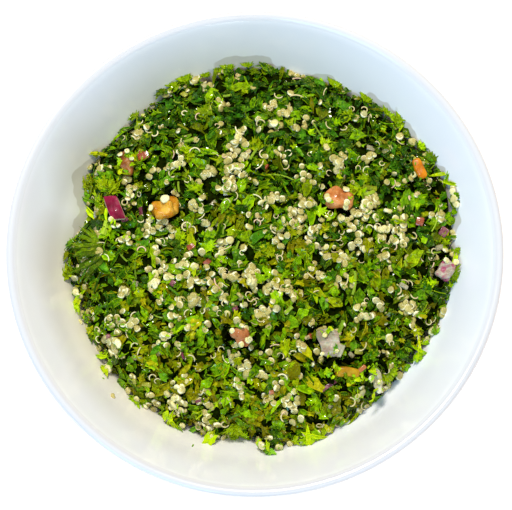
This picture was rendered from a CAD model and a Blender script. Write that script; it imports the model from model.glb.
# %% [markdown]
# # A bowl of tabbouleh, piece by piece
#
# The real thing is a white porcelain bowl with a heap of chopped parsley, cooked quinoa and diced
# vegetables in it. The solids of the bowl, the heap and the larger dice come packed as a frame, with the
# right sizes and places. This lesson dresses them: each cell makes one kind of bit or one finish, and the
# last cells pile thousands of bits on a core that is smaller than the heap.

# %% Load the frame
import math
import random

import bmesh
import bpy
import numpy as np
from mathutils import Matrix, Vector, noise
from mathutils.bvhtree import BVHTree


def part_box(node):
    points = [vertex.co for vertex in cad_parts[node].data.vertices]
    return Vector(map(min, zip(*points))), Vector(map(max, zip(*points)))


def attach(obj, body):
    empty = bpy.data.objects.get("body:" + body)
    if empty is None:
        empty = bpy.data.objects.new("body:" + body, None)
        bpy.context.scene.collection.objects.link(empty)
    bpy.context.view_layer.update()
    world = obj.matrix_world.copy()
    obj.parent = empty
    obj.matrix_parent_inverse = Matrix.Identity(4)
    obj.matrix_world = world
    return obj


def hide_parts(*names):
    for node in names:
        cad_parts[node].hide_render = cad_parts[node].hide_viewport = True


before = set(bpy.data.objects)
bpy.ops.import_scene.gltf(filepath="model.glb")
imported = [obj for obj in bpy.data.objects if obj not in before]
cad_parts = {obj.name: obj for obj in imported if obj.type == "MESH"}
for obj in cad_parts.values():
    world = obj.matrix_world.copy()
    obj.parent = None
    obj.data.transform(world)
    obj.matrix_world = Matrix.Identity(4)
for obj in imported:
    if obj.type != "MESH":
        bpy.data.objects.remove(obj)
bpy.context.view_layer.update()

MM = 0.001
noise.seed_set(7)  # noise vectors otherwise start from the clock, and differ from run to run

# %% [markdown]
# ## Where things are
#
# Every place below is worked out from the frame's nodes, so nothing has to be fitted by eye. The bowl
# gives the rim, and the heap gives its own middle and reach. A bearing is counted in degrees, anticlockwise
# from the bowl's right, and the front is -Y. Every piece is handed in the same way, so one function says
# that it moves with the object, whose finish it takes, and which solid it stands for.


# %% Measure the bowl and the heap
def hand_in(piece, node=None):
    """The piece rides on the object's only body, takes a slot's finish, and may stand for a frame node."""
    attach(piece, "root")
    if node:
        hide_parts(node)


_, bowl_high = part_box("bowl")
heap_low, heap_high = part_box("salad")
RIM_RADIUS = bowl_high.x
RIM_HEIGHT = bowl_high.z
HEAP_MIDDLE = (heap_low + heap_high) / 2
HEAP_REACH = (heap_high.x - heap_low.x) / 2
print("rim radius", round(RIM_RADIUS / MM, 1), "mm, heap reach", round(HEAP_REACH / MM, 1), "mm")

# %% [markdown]
# ## Camera
#
# The bowl is looked at from almost straight above, a little from the front, so that its round rim is drawn
# as a slightly flattened oval. A long lens from half a metre keeps the perspective gentle. The camera is
# placed by an elevation and a distance from the point it aims at, which is easier to reason about than
# three coordinates and three angles.

# %% Place the camera
CAMERA_ELEVATION = math.radians(77.63)
CAMERA_DISTANCE = 550 * MM
CAMERA_LENS = 96.5
AIM = Vector((0.5 * MM, -4.2 * MM, RIM_HEIGHT - 1.2 * MM))

camera_data = bpy.data.cameras.new("camera")
camera_data.lens = CAMERA_LENS
camera_data.clip_start = 10 * MM
camera = bpy.data.objects.new("camera", camera_data)
bpy.context.scene.collection.objects.link(camera)
backwards = Vector((0, -math.cos(CAMERA_ELEVATION), math.sin(CAMERA_ELEVATION)))
camera.location = AIM + backwards * CAMERA_DISTANCE
camera.rotation_euler = (math.pi / 2 - CAMERA_ELEVATION, 0, 0)
bpy.context.scene.camera = camera

# %% [markdown]
# ## Light
#
# Food is mostly shown under one large soft window. A wide area light above and to the left gives the wet
# leaves their sparkle, a cool one from the front left tints the far right wall like a sky, and a weak warm
# one from the right keeps the shadows from going grey. The pale world fills the rest, so the shadow round
# the bowl stays faint. The Standard view transform keeps the greens as saturated as fresh parsley is.

# %% Lights, world and view transform
# bearing, elevation, distance and width (m), power (W), colour
LIGHTS = {
    "window": (105, 62, 0.9, 0.20, 7.4, (1.0, 0.98, 0.92)),
    "sky_fill": (241, 40, 0.9, 0.50, 4.7, (0.19, 0.56, 1.0)),
    "warm_fill": (-55, 44, 1.0, 0.80, 2.6, (1.0, 0.94, 0.86)),
}
WORLD_COLOUR = (0.985, 0.965, 1.0, 1)
WORLD_STRENGTH = 0.47


def area_light(name, bearing, elevation, distance, width, power, colour):
    """A square soft light that points at the middle of the heap."""
    data = bpy.data.lights.new(name, "AREA")
    data.shape = "SQUARE"
    data.size = width
    data.energy = power
    data.color = colour
    light = bpy.data.objects.new(name, data)
    bpy.context.scene.collection.objects.link(light)
    around, up = math.radians(bearing), math.radians(elevation)
    away = Vector((math.cos(around) * math.cos(up), math.sin(around) * math.cos(up), math.sin(up)))
    light.location = HEAP_MIDDLE + away * distance
    light.rotation_euler = away.to_track_quat("Z", "Y").to_euler()


for light_name, settings in LIGHTS.items():
    area_light(light_name, *settings)
world = bpy.data.worlds.new("studio")
bpy.context.scene.world = world
world.use_nodes = True
background = world.node_tree.nodes["Background"]
background.inputs["Color"].default_value = WORLD_COLOUR
background.inputs["Strength"].default_value = WORLD_STRENGTH
bpy.context.scene.view_settings.view_transform = "Standard"
bpy.context.scene.view_settings.look = "None"
print("lights:", list(LIGHTS))

# %% [markdown]
# ## Making materials
#
# Each finish below is a Principled BSDF fed by a few nodes. A few small functions keep that readable: one
# starts a material, one feeds its shader at the end, and the others add a node, set its sockets and link
# what is handed to it. What several finishes share is a shader node group, built once with named sockets.


# %% Helpers for materials
def feed(tree, socket, value):
    """Links another node's output to a socket, or sets the socket to a constant."""
    if isinstance(value, bpy.types.NodeSocket):
        tree.links.new(value, socket)
    else:
        socket.default_value = (*value, 1) if socket.type == "RGBA" else value


def finished(made, **values):
    """Feeds the material's shader and returns the material; a name's _ stands for a space."""
    shader = made.node_tree.nodes["Principled BSDF"]
    for label, value in values.items():
        feed(made.node_tree, shader.inputs[label.replace("_", " ")], value)
    return made


def start_material(name, **values):
    """A material with only its shader and output, and its node tree; values are constants."""
    made = bpy.data.materials.new(name)
    made.use_nodes = True
    return finished(made, **values), made.node_tree


def translucent(weight, radius, scale):
    """Values for light that goes on under the surface; scale is how far, in mm."""
    return {"Subsurface_Weight": weight, "Subsurface_Radius": radius, "Subsurface_Scale": scale * MM}


# %% Helpers for nodes
def add_node(tree, kind, operation=None, **inputs):
    """Adds a node; its inputs are given by name, or as i0, i1 and so on."""
    node = tree.nodes.new("ShaderNode" + kind)
    if operation:
        node.operation = operation
    for key, value in inputs.items():
        label = int(key[1:]) if key[1:].isdigit() else key
        feed(tree, node.inputs[label], value)
    return node


def mixed(tree, share, first, second):
    """Colour output that is first where share is 0 and second where it is 1."""
    node = tree.nodes.new("ShaderNodeMix")
    node.data_type = "RGBA"
    for index, value in ((0, share), (6, first), (7, second)):
        feed(tree, node.inputs[index], value)
    return node.outputs[2]


def between(tree, value, low, high, to_low=0.0, to_high=1.0):
    """Value output that runs from to_low to to_high while value runs from low to high."""
    return add_node(tree, "MapRange", i0=value, i1=low, i2=high, i3=to_low, i4=to_high).outputs[0]


def product(tree, first, second):
    return add_node(tree, "Math", "MULTIPLY", i0=first, i1=second).outputs[0]


def total(tree, first, second):
    return add_node(tree, "Math", "ADD", i0=first, i1=second).outputs[0]


def clouds(tree, place, scale, detail, roughness=0.5):
    """Value output of soft noise; scale is how many clouds go in a metre."""
    values = {"Vector": place, "Scale": scale, "Detail": detail, "Roughness": roughness}
    return add_node(tree, "TexNoise", **values).outputs[0]


def carried(tree, name):
    """The node that reads an attribute which the mesh carries at its points."""
    node = tree.nodes.new("ShaderNodeAttribute")
    node.attribute_name = name
    return node


def bit_values(tree):
    """The three numbers that every loose bit carries at its points: tone, hue and edge."""
    return add_node(tree, "SeparateXYZ", i0=carried(tree, "bit").outputs["Vector"]).outputs


def object_place(tree):
    """Object coordinates, in metres, on which every pattern of this lesson lies."""
    return tree.nodes.new("ShaderNodeTexCoord").outputs["Object"]


# %% [markdown]
# ## Effects that many finishes share
#
# **mottle** gives a soft mask that wanders over a surface at a given size, and is used for every colour
# that isn't even. **wet relief** turns fine noise into a normal: cut flesh, leaf and grain are never
# smooth, and the small bumps break the highlights up. **bit tone** chooses between three colours by a
# number that each bit of the heap carries, so that no two chips of leaf are the same green.


# %% Build the shared node groups
def start_group(name, output, **inputs):
    """A node group with one output; an input is a vector where its default is None."""
    tree = bpy.data.node_groups.new(name, "ShaderNodeTree")
    for label, default in inputs.items():
        kind = "Vector" if default is None else "Color" if isinstance(default, tuple) else "Float"
        socket = tree.interface.new_socket(label, in_out="INPUT", socket_type="NodeSocket" + kind)
        if default is not None:
            socket.default_value = (*default, 1) if kind == "Color" else default
    kind = {"Mask": "Float", "Normal": "Vector", "Color": "Color"}[output]
    tree.interface.new_socket(output, in_out="OUTPUT", socket_type="NodeSocket" + kind)
    return tree, tree.nodes.new("NodeGroupInput").outputs, tree.nodes.new("NodeGroupOutput").inputs[0]


def place_group(tree, group, **inputs):
    """Puts a group in a material with its own values and returns its output."""
    node = tree.nodes.new("ShaderNodeGroup")
    node.node_tree = group
    for label, value in inputs.items():
        feed(tree, node.inputs[label], value)
    return node.outputs[0]


def build_mottle():
    tree, given, mask = start_group("mottle", "Mask", Vector=None, Size=0.003, Low=0.4, High=0.6)
    frequency = add_node(tree, "Math", "DIVIDE", i0=1.0, i1=given["Size"]).outputs[0]
    cloud = clouds(tree, given["Vector"], frequency, 2.0)
    feed(tree, mask, between(tree, cloud, given["Low"], given["High"]))
    return tree


def build_wet_relief():
    tree, given, normal = start_group("wet relief", "Normal", Vector=None, Size=0.001, Depth=0.0002)
    frequency = add_node(tree, "Math", "DIVIDE", i0=1.0, i1=given["Size"]).outputs[0]
    cloud = clouds(tree, given["Vector"], frequency, 1.5)
    bump = add_node(tree, "Bump", Strength=1.0, Distance=given["Depth"], Height=cloud)
    feed(tree, normal, bump.outputs[0])
    return tree


def build_bit_tone():
    greys = {"Dark": (0.1, 0.1, 0.1), "Middle": (0.4, 0.4, 0.4), "Bright": (0.8, 0.8, 0.8)}
    tree, given, colour = start_group("bit tone", "Color", Tone=0.5, **greys)
    dim = mixed(tree, between(tree, given["Tone"], 0.0, 0.5), given["Dark"], given["Middle"])
    feed(tree, colour, mixed(tree, between(tree, given["Tone"], 0.5, 1.0), dim, given["Bright"]))
    return tree


MOTTLE = build_mottle()
WET_RELIEF = build_wet_relief()
BIT_TONE = build_bit_tone()
print("shared groups:", [group.name for group in bpy.data.node_groups])


# %% Place the shared groups
def mottled(tree, place, size, low, high):
    """A soft mask of patches of a size in metres."""
    return place_group(tree, MOTTLE, Vector=place, Size=size, Low=low, High=high)


def wet_relief(tree, place, size, depth):
    """A normal that goes up and down by a depth over a size, both in metres."""
    return place_group(tree, WET_RELIEF, Vector=place, Size=size, Depth=depth)


def toned(tree, tone, dark, middle, bright):
    """A colour that runs over three while tone goes from 0 to 1."""
    return place_group(tree, BIT_TONE, Tone=tone, Dark=dark, Middle=middle, Bright=bright)


# %% [markdown]
# ## The floor
#
# A plain pale floor that is larger than the view, made with a bmesh grid. It is stage, not part of the
# object. Even a studio floor isn't one flat colour, so a faint mottle keeps it from looking cut out, and a
# little light of its own keeps the shadow round the bowl faint.

# %% Lay the floor
FLOOR_HALF_WIDTH = 1.5
FLOOR_GLOW = 0.28


def floor_finish():
    made, tree = start_material(
        "pale_paper", Roughness=0.9, Emission_Color=(1, 1, 1), Emission_Strength=FLOOR_GLOW
    )
    patch = mottled(tree, object_place(tree), 0.2, 0.3, 0.7)
    return finished(made, Base_Color=mixed(tree, patch, (0.90, 0.90, 0.90), (0.93, 0.93, 0.93)))


def object_from(bm, name, finish):
    """Ends a bmesh as a named object in the scene."""
    mesh = bpy.data.meshes.new(name)
    bm.to_mesh(mesh)
    bm.free()
    made = bpy.data.objects.new(name, mesh)
    mesh.materials.append(finish)
    bpy.context.scene.collection.objects.link(made)
    return made


def check_closed(bm, name):
    """Tells at once when an operator has left a hole."""
    open_edges = sum(not edge.is_manifold for edge in bm.edges)
    if open_edges:
        print("  open edges in", name, open_edges)


floor_bm = bmesh.new()
bmesh.ops.create_grid(floor_bm, x_segments=1, y_segments=1, size=FLOOR_HALF_WIDTH)
floor = object_from(floor_bm, "floor", floor_finish())
print("floor:", 2 * FLOOR_HALF_WIDTH, "m wide")

# %% [markdown]
# ## The bowl
#
# A coupe bowl is thrown on a wheel, so its shape is one profile turned round an axis. The frame's bowl has
# flat facets that a glossy glaze would show. The same profile is spun here with many more steps: a wall
# whose outside follows a superellipse, and a foot ring. The inside follows one too, until it leans out
# straight and rounds over into the lip, because the thick glaze of a hand-sized bowl fills the corner
# there. `bmesh.ops.spin` with `use_merge` closes the turn.

# %% Set the bowl's measures
LIP_RADIUS = 1.5 * MM
LIP_MIDDLE = RIM_RADIUS - LIP_RADIUS
LIP_HEIGHT = RIM_HEIGHT - LIP_RADIUS
INSIDE_RADIUS = RIM_RADIUS - 2 * LIP_RADIUS
WALL_LEAN = math.radians(62)
SHOULDER_ROUNDING = 3 * MM
SHOULDER_RADIUS = LIP_MIDDLE - SHOULDER_ROUNDING * math.sin(WALL_LEAN)
SHOULDER_HEIGHT = RIM_HEIGHT - SHOULDER_ROUNDING * (1 - math.cos(WALL_LEAN))
WALL_EASE = 0.5 * MM
INNER_FLOOR_RADIUS = 35 * MM
INNER_FLOOR_HEIGHT = 9 * MM
FOOT_RADIUS = 38 * MM
FOOT_WIDTH = 4 * MM
FOOT_HEIGHT = 4 * MM
FOOT_ROUNDING = 0.6 * MM
UNDERSIDE_HEIGHT = 3.5 * MM
WALL_POWER = 1.5
BOWL_STEPS = 160
WALL_SEGMENTS = 40
LIP_SEGMENTS = 6
print("the wall is", round(2 * LIP_RADIUS / MM, 1), "mm thick at the lip")


# %% Draw the bowl's profile
def wall_height(radius):
    """Height of the bowl's inside at a distance from its axis; works on numbers and on arrays."""
    share = np.clip((radius - INNER_FLOOR_RADIUS) / (INSIDE_RADIUS - INNER_FLOOR_RADIUS), 0, 1)
    curved = LIP_HEIGHT - (LIP_HEIGHT - INNER_FLOOR_HEIGHT) * (1 - share**WALL_POWER) ** (1 / WALL_POWER)
    leaning = SHOULDER_HEIGHT - (SHOULDER_RADIUS - radius) * math.tan(WALL_LEAN)
    # the higher of the two, with a soft change from one to the other
    return (curved + leaning) / 2 + np.sqrt(((curved - leaning) / 2) ** 2 + WALL_EASE**2)


def outer_wall():
    """(radius, height) pairs up the outside, level at the foot and upright at the lip."""
    power = 2 / WALL_POWER
    points = []
    for i in range(WALL_SEGMENTS + 1):
        angle = i / WALL_SEGMENTS * math.pi / 2
        radius = FOOT_RADIUS + (RIM_RADIUS - FOOT_RADIUS) * math.sin(angle) ** power
        points.append((radius, LIP_HEIGHT - (LIP_HEIGHT - FOOT_HEIGHT) * max(0, math.cos(angle)) ** power))
    return points


def arc(middle, height, radius, first, last):
    """(radius, height) pairs along an arc, without its two ends; angles are in radians."""
    turns = [first + (last - first) * i / LIP_SEGMENTS for i in range(1, LIP_SEGMENTS)]
    return [(middle + radius * math.cos(turn), height + radius * math.sin(turn)) for turn in turns]


def bowl_profile():
    """The whole outline of the wall, from the inside's middle over the lip to the underside's middle."""
    reach = SHOULDER_RADIUS - INNER_FLOOR_RADIUS
    radii = [INNER_FLOOR_RADIUS + reach * i / WALL_SEGMENTS for i in range(WALL_SEGMENTS + 1)]
    inner = [(radius, float(wall_height(radius))) for radius in radii]
    upright = math.pi / 2
    shoulder_foot = RIM_HEIGHT - SHOULDER_ROUNDING
    shoulder = arc(LIP_MIDDLE, shoulder_foot, SHOULDER_ROUNDING, upright + WALL_LEAN, upright)
    lip = arc(LIP_MIDDLE, LIP_HEIGHT, LIP_RADIUS, upright, 0)
    ring = FOOT_RADIUS - FOOT_WIDTH
    foot = [
        (FOOT_RADIUS, FOOT_ROUNDING),
        (FOOT_RADIUS - FOOT_ROUNDING, 0),
        (ring + FOOT_ROUNDING, 0),
        (ring, FOOT_ROUNDING),
        (ring - FOOT_ROUNDING, UNDERSIDE_HEIGHT),
        (0, UNDERSIDE_HEIGHT),
    ]
    crest = (LIP_MIDDLE, RIM_HEIGHT)
    return [(0, INNER_FLOOR_HEIGHT), *inner, *shoulder, crest, *lip, *reversed(outer_wall()), *foot]


# %% Spin a profile
def spin_profile(points, steps):
    """A closed turned body from (radius, height) points that start and end on the axis."""
    bm = bmesh.new()
    verts = [bm.verts.new((radius, 0, height)) for radius, height in points]
    for first, second in zip(verts, verts[1:]):
        bm.edges.new((first, second))
    bmesh.ops.spin(
        bm,
        geom=verts + list(bm.edges),
        cent=(0, 0, 0),
        axis=(0, 0, 1),
        angle=2 * math.pi,
        steps=steps,
        use_merge=True,
    )
    bmesh.ops.remove_doubles(bm, verts=bm.verts, dist=min(points[1][0], 1 * MM) / 1000)
    bm.verts.index_update()
    bmesh.ops.recalc_face_normals(bm, faces=bm.faces)
    # merging leaves the faces at the axis in no fixed order, so they are put in one
    placed = sorted(bm.faces, key=lambda face: sorted(vert.index for vert in face.verts))
    for index, face in enumerate(placed):
        face.index = index
    bm.faces.sort()
    return bm


bowl_bm = spin_profile(bowl_profile(), BOWL_STEPS)
print("bowl:", len(bowl_bm.faces), "faces")

# %% [markdown]
# ## Height maps of the heap
#
# Things that are dropped on a heap need to know how high it is under them. A fine grid over the bowl
# holds three heights, found by rays cast straight down: the frame's heap with its dice (the surface that
# the finished pile should reach), the dice alone (which stay bare), and the bowl's wall.

# %% Cast rays on the frame's solids
CELL = 0.5 * MM
GRID_HALF = 88 * MM
GRID_CELLS = int(round(2 * GRID_HALF / CELL))
DICE = [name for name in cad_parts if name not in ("bowl", "salad")]
DOWN = Vector((0, 0, -1))


def merged_copy(node):
    """A bmesh of a frame node with its loose triangles joined up."""
    bm = bmesh.new()
    bm.from_mesh(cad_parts[node].data)
    bmesh.ops.remove_doubles(bm, verts=bm.verts, dist=0.01 * MM)
    return bm


def cell_of(place):
    """The number along its side of the grid cell that a coordinate lies in."""
    return int((place + GRID_HALF) / CELL)


def height_map(nodes):
    """Height of the highest of some frame nodes over each cell, and -1 where there is none."""
    heights = np.full((GRID_CELLS, GRID_CELLS), -1.0)
    for node in nodes:
        bm = merged_copy(node)
        tree = BVHTree.FromBMesh(bm)
        low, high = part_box(node)
        first = [max(0, cell_of(low[k])) for k in (0, 1)]
        last = [min(GRID_CELLS, cell_of(high[k]) + 2) for k in (0, 1)]
        for i in range(first[0], last[0]):
            for j in range(first[1], last[1]):
                hit = tree.ray_cast(Vector((centres[i], centres[j], 1.0)), DOWN)[0]
                if hit and hit.z > heights[i, j]:
                    heights[i, j] = hit.z
        bm.free()
    return heights


centres = (np.arange(GRID_CELLS) + 0.5) * CELL - GRID_HALF
grid_x, grid_y = np.meshgrid(centres, centres, indexing="ij")
wall_map = wall_height(np.hypot(grid_x, grid_y))
heap_map = height_map(["salad"])
dice_map = height_map(DICE)
in_heap = heap_map > 0
on_dice = in_heap & (dice_map > heap_map - 0.2 * MM)
target_map = np.where(in_heap, np.maximum(heap_map, dice_map), wall_map)
print("cells in the heap:", int(in_heap.sum()), "of them under dice:", int(on_dice.sum()))

# %% [markdown]
# ## Porcelain glaze
#
# Glazed porcelain is white, smooth and coated: a low roughness with a coat gives the ring of light along
# the lip, where the glaze runs thin and the warm body shows through. Dressing has seeped out of the heap:
# a faint beige haze reaches up the wall, most of all on the left, and in a few wet patches a thin olive
# film with a sharp wandering edge creeps up next to the heap. So every point of the bowl keeps two
# numbers as attributes: its distance from the heap, and how far it is outside the wet patches.

# %% Measure how far the dressing reaches
# bearing and half-width in degrees, and how far the film reaches up the wall in mm
WET_PATCHES = ((48, 34, 3.8), (8, 12, 2.2), (161, 13, 6.5), (98, 26, 3.4), (300, 20, 0.8))
DRY = 1.0  # a distance in metres that no dressing reaches


def distance_to_heap(points):
    """How far each (x, y) is from the nearest cell at the heap's border, and 0 inside the heap."""
    inner = in_heap[:-2, 1:-1] & in_heap[2:, 1:-1] & in_heap[1:-1, :-2] & in_heap[1:-1, 2:]
    border = centres[np.argwhere(in_heap & ~np.pad(inner, 1))]
    gaps = np.array([np.hypot(*(border - point).T).min() for point in points])
    cells = np.clip(((points + GRID_HALF) / CELL).astype(int), 0, GRID_CELLS - 1)
    return np.where(in_heap[cells[:, 0], cells[:, 1]], 0, gaps)


def film_edge(points, gaps):
    """How far each (x, y) is outside the wet patches; below 0 it is inside one."""
    bearings = np.degrees(np.arctan2(points[:, 1] - HEAP_MIDDLE.y, points[:, 0] - HEAP_MIDDLE.x))
    reach = np.full(len(points), -1.0)
    for bearing, width, far in WET_PATCHES:
        turned = (bearings - bearing + 180) % 360 - 180
        reach = np.maximum(reach, far * np.exp(-((turned / width) ** 2)) - 1.0)
    return gaps - reach * MM


bowl_points = np.array([vert.co for vert in bowl_bm.verts])
gaps = distance_to_heap(bowl_points[:, :2])
outside = bowl_points[:, 2] < wall_height(np.hypot(*bowl_points[:, :2].T)) - 1 * MM
gaps[outside] = DRY
wet = film_edge(bowl_points[:, :2], gaps)
print("points under the film:", int((wet < 0).sum()))

# %% Glaze the bowl
HAZE_REACH = 15 * MM
HAZE_SIDE = math.radians(160)
FILM_WANDER = 1.6 * MM
HAZE_COLOUR = (0.59, 0.52, 0.31)
FILM_COLOUR = (0.44, 0.39, 0.28)
THIN_GLAZE = (0.62, 0.61, 0.60)
WARM_LINE = (0.90, 0.74, 0.60)


def glaze_finish():
    made, tree = start_material("porcelain_glaze", Coat_Weight=0.5, Coat_Roughness=0.06)
    place = object_place(tree)
    wander = clouds(tree, place, 90.0, 1.5)
    # white, with a haze round the heap that is strongest on one side
    white = mixed(tree, mottled(tree, place, 0.03, 0.35, 0.65), (0.87, 0.875, 0.885), (0.89, 0.895, 0.905))
    side = (math.cos(HAZE_SIDE), math.sin(HAZE_SIDE), 0)
    facing = add_node(tree, "VectorMath", "DOT_PRODUCT", i0=place, i1=side).outputs["Value"]
    soft = between(tree, carried(tree, "gap").outputs["Fac"], 0, HAZE_REACH, 1.0, 0.0)
    haze = product(tree, soft, between(tree, facing, -60 * MM, 65 * MM, 0.12, 1.0))
    hazy = mixed(tree, between(tree, haze, 0, 1, 0, 0.82), white, HAZE_COLOUR)
    # the wet film, whose edge wanders
    shift = between(tree, wander, 0.35, 0.65, -FILM_WANDER, FILM_WANDER)
    near = total(tree, carried(tree, "outside_film").outputs["Fac"], shift)
    film = between(tree, near, 0, 0.4 * MM, 1.0, 0.0)
    filmed = mixed(tree, between(tree, film, 0, 1, 0, 0.62), hazy, FILM_COLOUR)
    # the lip, with a warm line where it turns down outside
    height = add_node(tree, "SeparateXYZ", i0=place).outputs[2]
    thin = between(tree, height, RIM_HEIGHT - 2.0 * MM, RIM_HEIGHT - 0.5 * MM)
    flat = add_node(tree, "VectorMath", "MULTIPLY", i0=place, i1=(1, 1, 0)).outputs[0]
    radius = add_node(tree, "VectorMath", "LENGTH", i0=flat).outputs["Value"]
    outside_lip = between(tree, radius, RIM_RADIUS - 2.6 * MM, RIM_RADIUS - 0.6 * MM)
    below_crest = between(tree, height, RIM_HEIGHT - 1.0 * MM, RIM_HEIGHT - 0.2 * MM, 1.0, 0.0)
    line = product(tree, outside_lip, below_crest)
    colour = mixed(tree, line, mixed(tree, thin, filmed, THIN_GLAZE), WARM_LINE)
    return finished(made, Base_Color=colour, Roughness=between(tree, wander, 0.3, 0.7, 0.14, 0.20))


bowl = object_from(bowl_bm, "bowl_glazed", glaze_finish())
bowl.data.shade_smooth()
bowl.data.set_sharp_from_angle(angle=math.radians(50))
for name, values in (("gap", gaps), ("outside_film", wet)):
    bowl.data.attributes.new(name, "FLOAT", "POINT").data.foreach_set("value", values)
hand_in(bowl, "bowl")
print("glazed:", bowl.name)

# %% [markdown]
# ## The vegetables that stand out
#
# The frame has ten pieces of tomato, onion and pepper as plain bevelled solids. Each gets a finer piece in
# the same place: a fine ball is pressed towards a block along the node's own axes, pushed in and out along
# its normals by noise, deep for juicy tomato and slight for crisp onion, and then fitted to the node's box.
# The onion petal also leans and slopes, as the layer of an onion does when it slides off the knife. The
# axis along which a piece is thinnest tells its skin sides from its cut sides, which is kept as the `edge`
# of the `bit` attribute.


# %% Fit a shape to a frame node
def carry_bit(mesh, rows):
    """Stores (tone, hue, edge) at every point of a mesh."""
    mesh.attributes.new("bit", "FLOAT_VECTOR", "POINT").data.foreach_set("vector", np.array(rows).ravel())


def fit_to_box(bm, node):
    """Scales a bmesh so that its box is the node's box."""
    points = np.array([vert.co for vert in bm.verts])
    low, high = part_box(node)
    middle = Vector((points.min(axis=0) + points.max(axis=0)) / 2)
    sides = Vector(points.max(axis=0) - points.min(axis=0))
    factors = [(high[k] - low[k]) / sides[k] for k in range(3)]
    bmesh.ops.scale(bm, vec=factors, verts=bm.verts, space=Matrix.Translation(-middle))
    bmesh.ops.translate(bm, verts=bm.verts, vec=(low + high) / 2 - middle)


def own_axes(bm):
    """The three directions along which a die's sides lie: two level ones and its thinnest one."""
    points = np.array([vert.co for vert in bm.verts])
    thin = Vector(np.linalg.svd(points - points.mean(axis=0))[2][2])
    sides = [face for face in bm.faces if abs(face.normal.dot(thin)) < 0.3]
    first = max(sides, key=lambda face: face.calc_area()).normal.copy()
    first = (first - thin * first.dot(thin)).normalized()
    return np.array([first, thin.cross(first), thin])


# %% Make a finer vegetable
def finer_piece(node, finish, power, lean, relief, grain, seed):
    """A detailed stand-in for a frame node. A power of 2 makes an egg of it and 10 a crisp block."""
    solid = merged_copy(node)
    solid.normal_update()
    axes = np.identity(3) if lean else own_axes(solid)
    along = np.array([vert.co for vert in solid.verts]) @ axes.T
    solid.free()
    low, high = along.min(axis=0), along.max(axis=0)
    middle, half = (high + low) / 2, (high - low) / 2
    bm = bmesh.new()
    bmesh.ops.create_icosphere(bm, subdivisions=5, radius=1)
    ball = np.array([vert.co for vert in bm.verts])
    block = ball / (np.abs(ball) ** power).sum(axis=1)[:, None] ** (1 / power)
    if lean:  # a slanting slab that slopes down to the left, in the same box
        block[:, 0] = (1 - lean) * block[:, 0] - lean * block[:, 1]
        block[:, 2] = 0.5 * block[:, 2] + 0.5 * block[:, 0]
    for vert, place in zip(bm.verts, (middle + half * block) @ axes):
        vert.co = place
    bm.normal_update()
    thin = Vector(axes[2])
    rows = [(0.5, 0.4, min(1, max(0, 1.6 - 2 * abs(vert.normal.dot(thin))))) for vert in bm.verts]
    offset = Vector((seed * 4.1, seed * 1.7, 0))
    pushes = []
    for vert in bm.verts:
        coarse = noise.noise(vert.co / grain + offset)
        fine = noise.noise(vert.co / (0.35 * grain) + offset)
        pushes.append(vert.normal * relief * (coarse + 0.06 * fine))
    for vert, push in zip(bm.verts, pushes):
        vert.co += push
    fit_to_box(bm, node)
    check_closed(bm, node)
    made = object_from(bm, node + "_cut", finish)
    carry_bit(made.data, rows)
    made.data.shade_smooth()
    hand_in(made, node)
    print(made.name, len(made.data.polygons), "faces")


# %% [markdown]
# ## Finishes of the vegetables
#
# Tomato flesh is translucent, with paler and darker cells and tiny wet sparks. Onion is glassy with fine
# pale lines along its layer, and its skin side is a deep magenta that stops sharply at the cream-coloured
# cut. Pepper is waxy and even. One function mixes three tones with cloudy noise at two sizes, and each
# vegetable adds what is its own. Wet flesh mirrors the pale room only in its drops, so the coat is laid on
# in spots and the rest stays a full colour.


# %% Say how wet flesh looks
def flesh_finish(name, tones, cell, translucence, roughness=0.3):
    """Wet flesh; cell is the size of its clouds. Returns the material, its tree and its colour."""
    made, tree = start_material(
        name,
        Specular_IOR_Level=0.15,
        Coat_Roughness=0.1,
        **translucent(translucence, (1.0, 0.5, 0.25), 1.2),
    )
    place = object_place(tree)
    small = clouds(tree, place, 4 / cell, 2.0)
    large = clouds(tree, place, 1 / cell, 1.0)
    cloud = add_node(tree, "Math", "MULTIPLY_ADD", i0=small, i1=0.25, i2=large).outputs[0]
    finished(
        made,
        Coat_Weight=mottled(tree, place, 0.0013, 0.60, 0.68),
        Roughness=between(tree, small, 0.3, 0.7, roughness - 0.08, roughness + 0.12),
        Normal=wet_relief(tree, place, 0.0013, 0.00018),
    )
    return made, tree, toned(tree, between(tree, cloud, 0.42, 0.82), *tones)


def tomato_finish(name, *tones):
    """Tomato with pale specks, where its cells are cut."""
    made, tree, flesh = flesh_finish(name, tones, 4.5 * MM, 0.3)
    specks = mottled(tree, object_place(tree), 0.0006, 0.62, 0.72)
    return finished(made, Base_Color=mixed(tree, product(tree, specks, 0.22), flesh, (0.80, 0.70, 0.46)))


def pepper_finish(name, *tones):
    """Waxy pepper, paler where it is cut."""
    made, tree, flesh = flesh_finish(name, tones, 5 * MM, 0.15)
    cut = between(tree, bit_values(tree)[2], 0.3, 1.0, 0, 0.5)
    return finished(made, Base_Color=mixed(tree, cut, flesh, tones[2]))


def onion_finish(name, heading, blush, *tones):
    """Glassy onion with pale lines along heading, in degrees; blush is how strong its magenta patch is."""
    made, tree, flesh = flesh_finish(name, tones, 4 * MM, 0.3, 0.24)
    place = object_place(tree)
    turned = (0, 0, math.radians(-heading))
    lined = add_node(tree, "Mapping", Vector=place, Rotation=turned, Scale=(120, 1500, 600)).outputs[0]
    lines = between(tree, clouds(tree, lined, 1.0, 1.0), 0.52, 0.66, 0.0, 0.30)
    pale = mixed(tree, lines, flesh, (0.62, 0.60, 0.44))
    magenta = product(tree, mottled(tree, place, 0.0030, 0.48, 0.60), blush)
    return finished(made, Base_Color=mixed(tree, magenta, pale, (0.34, 0.03, 0.10)))


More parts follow.
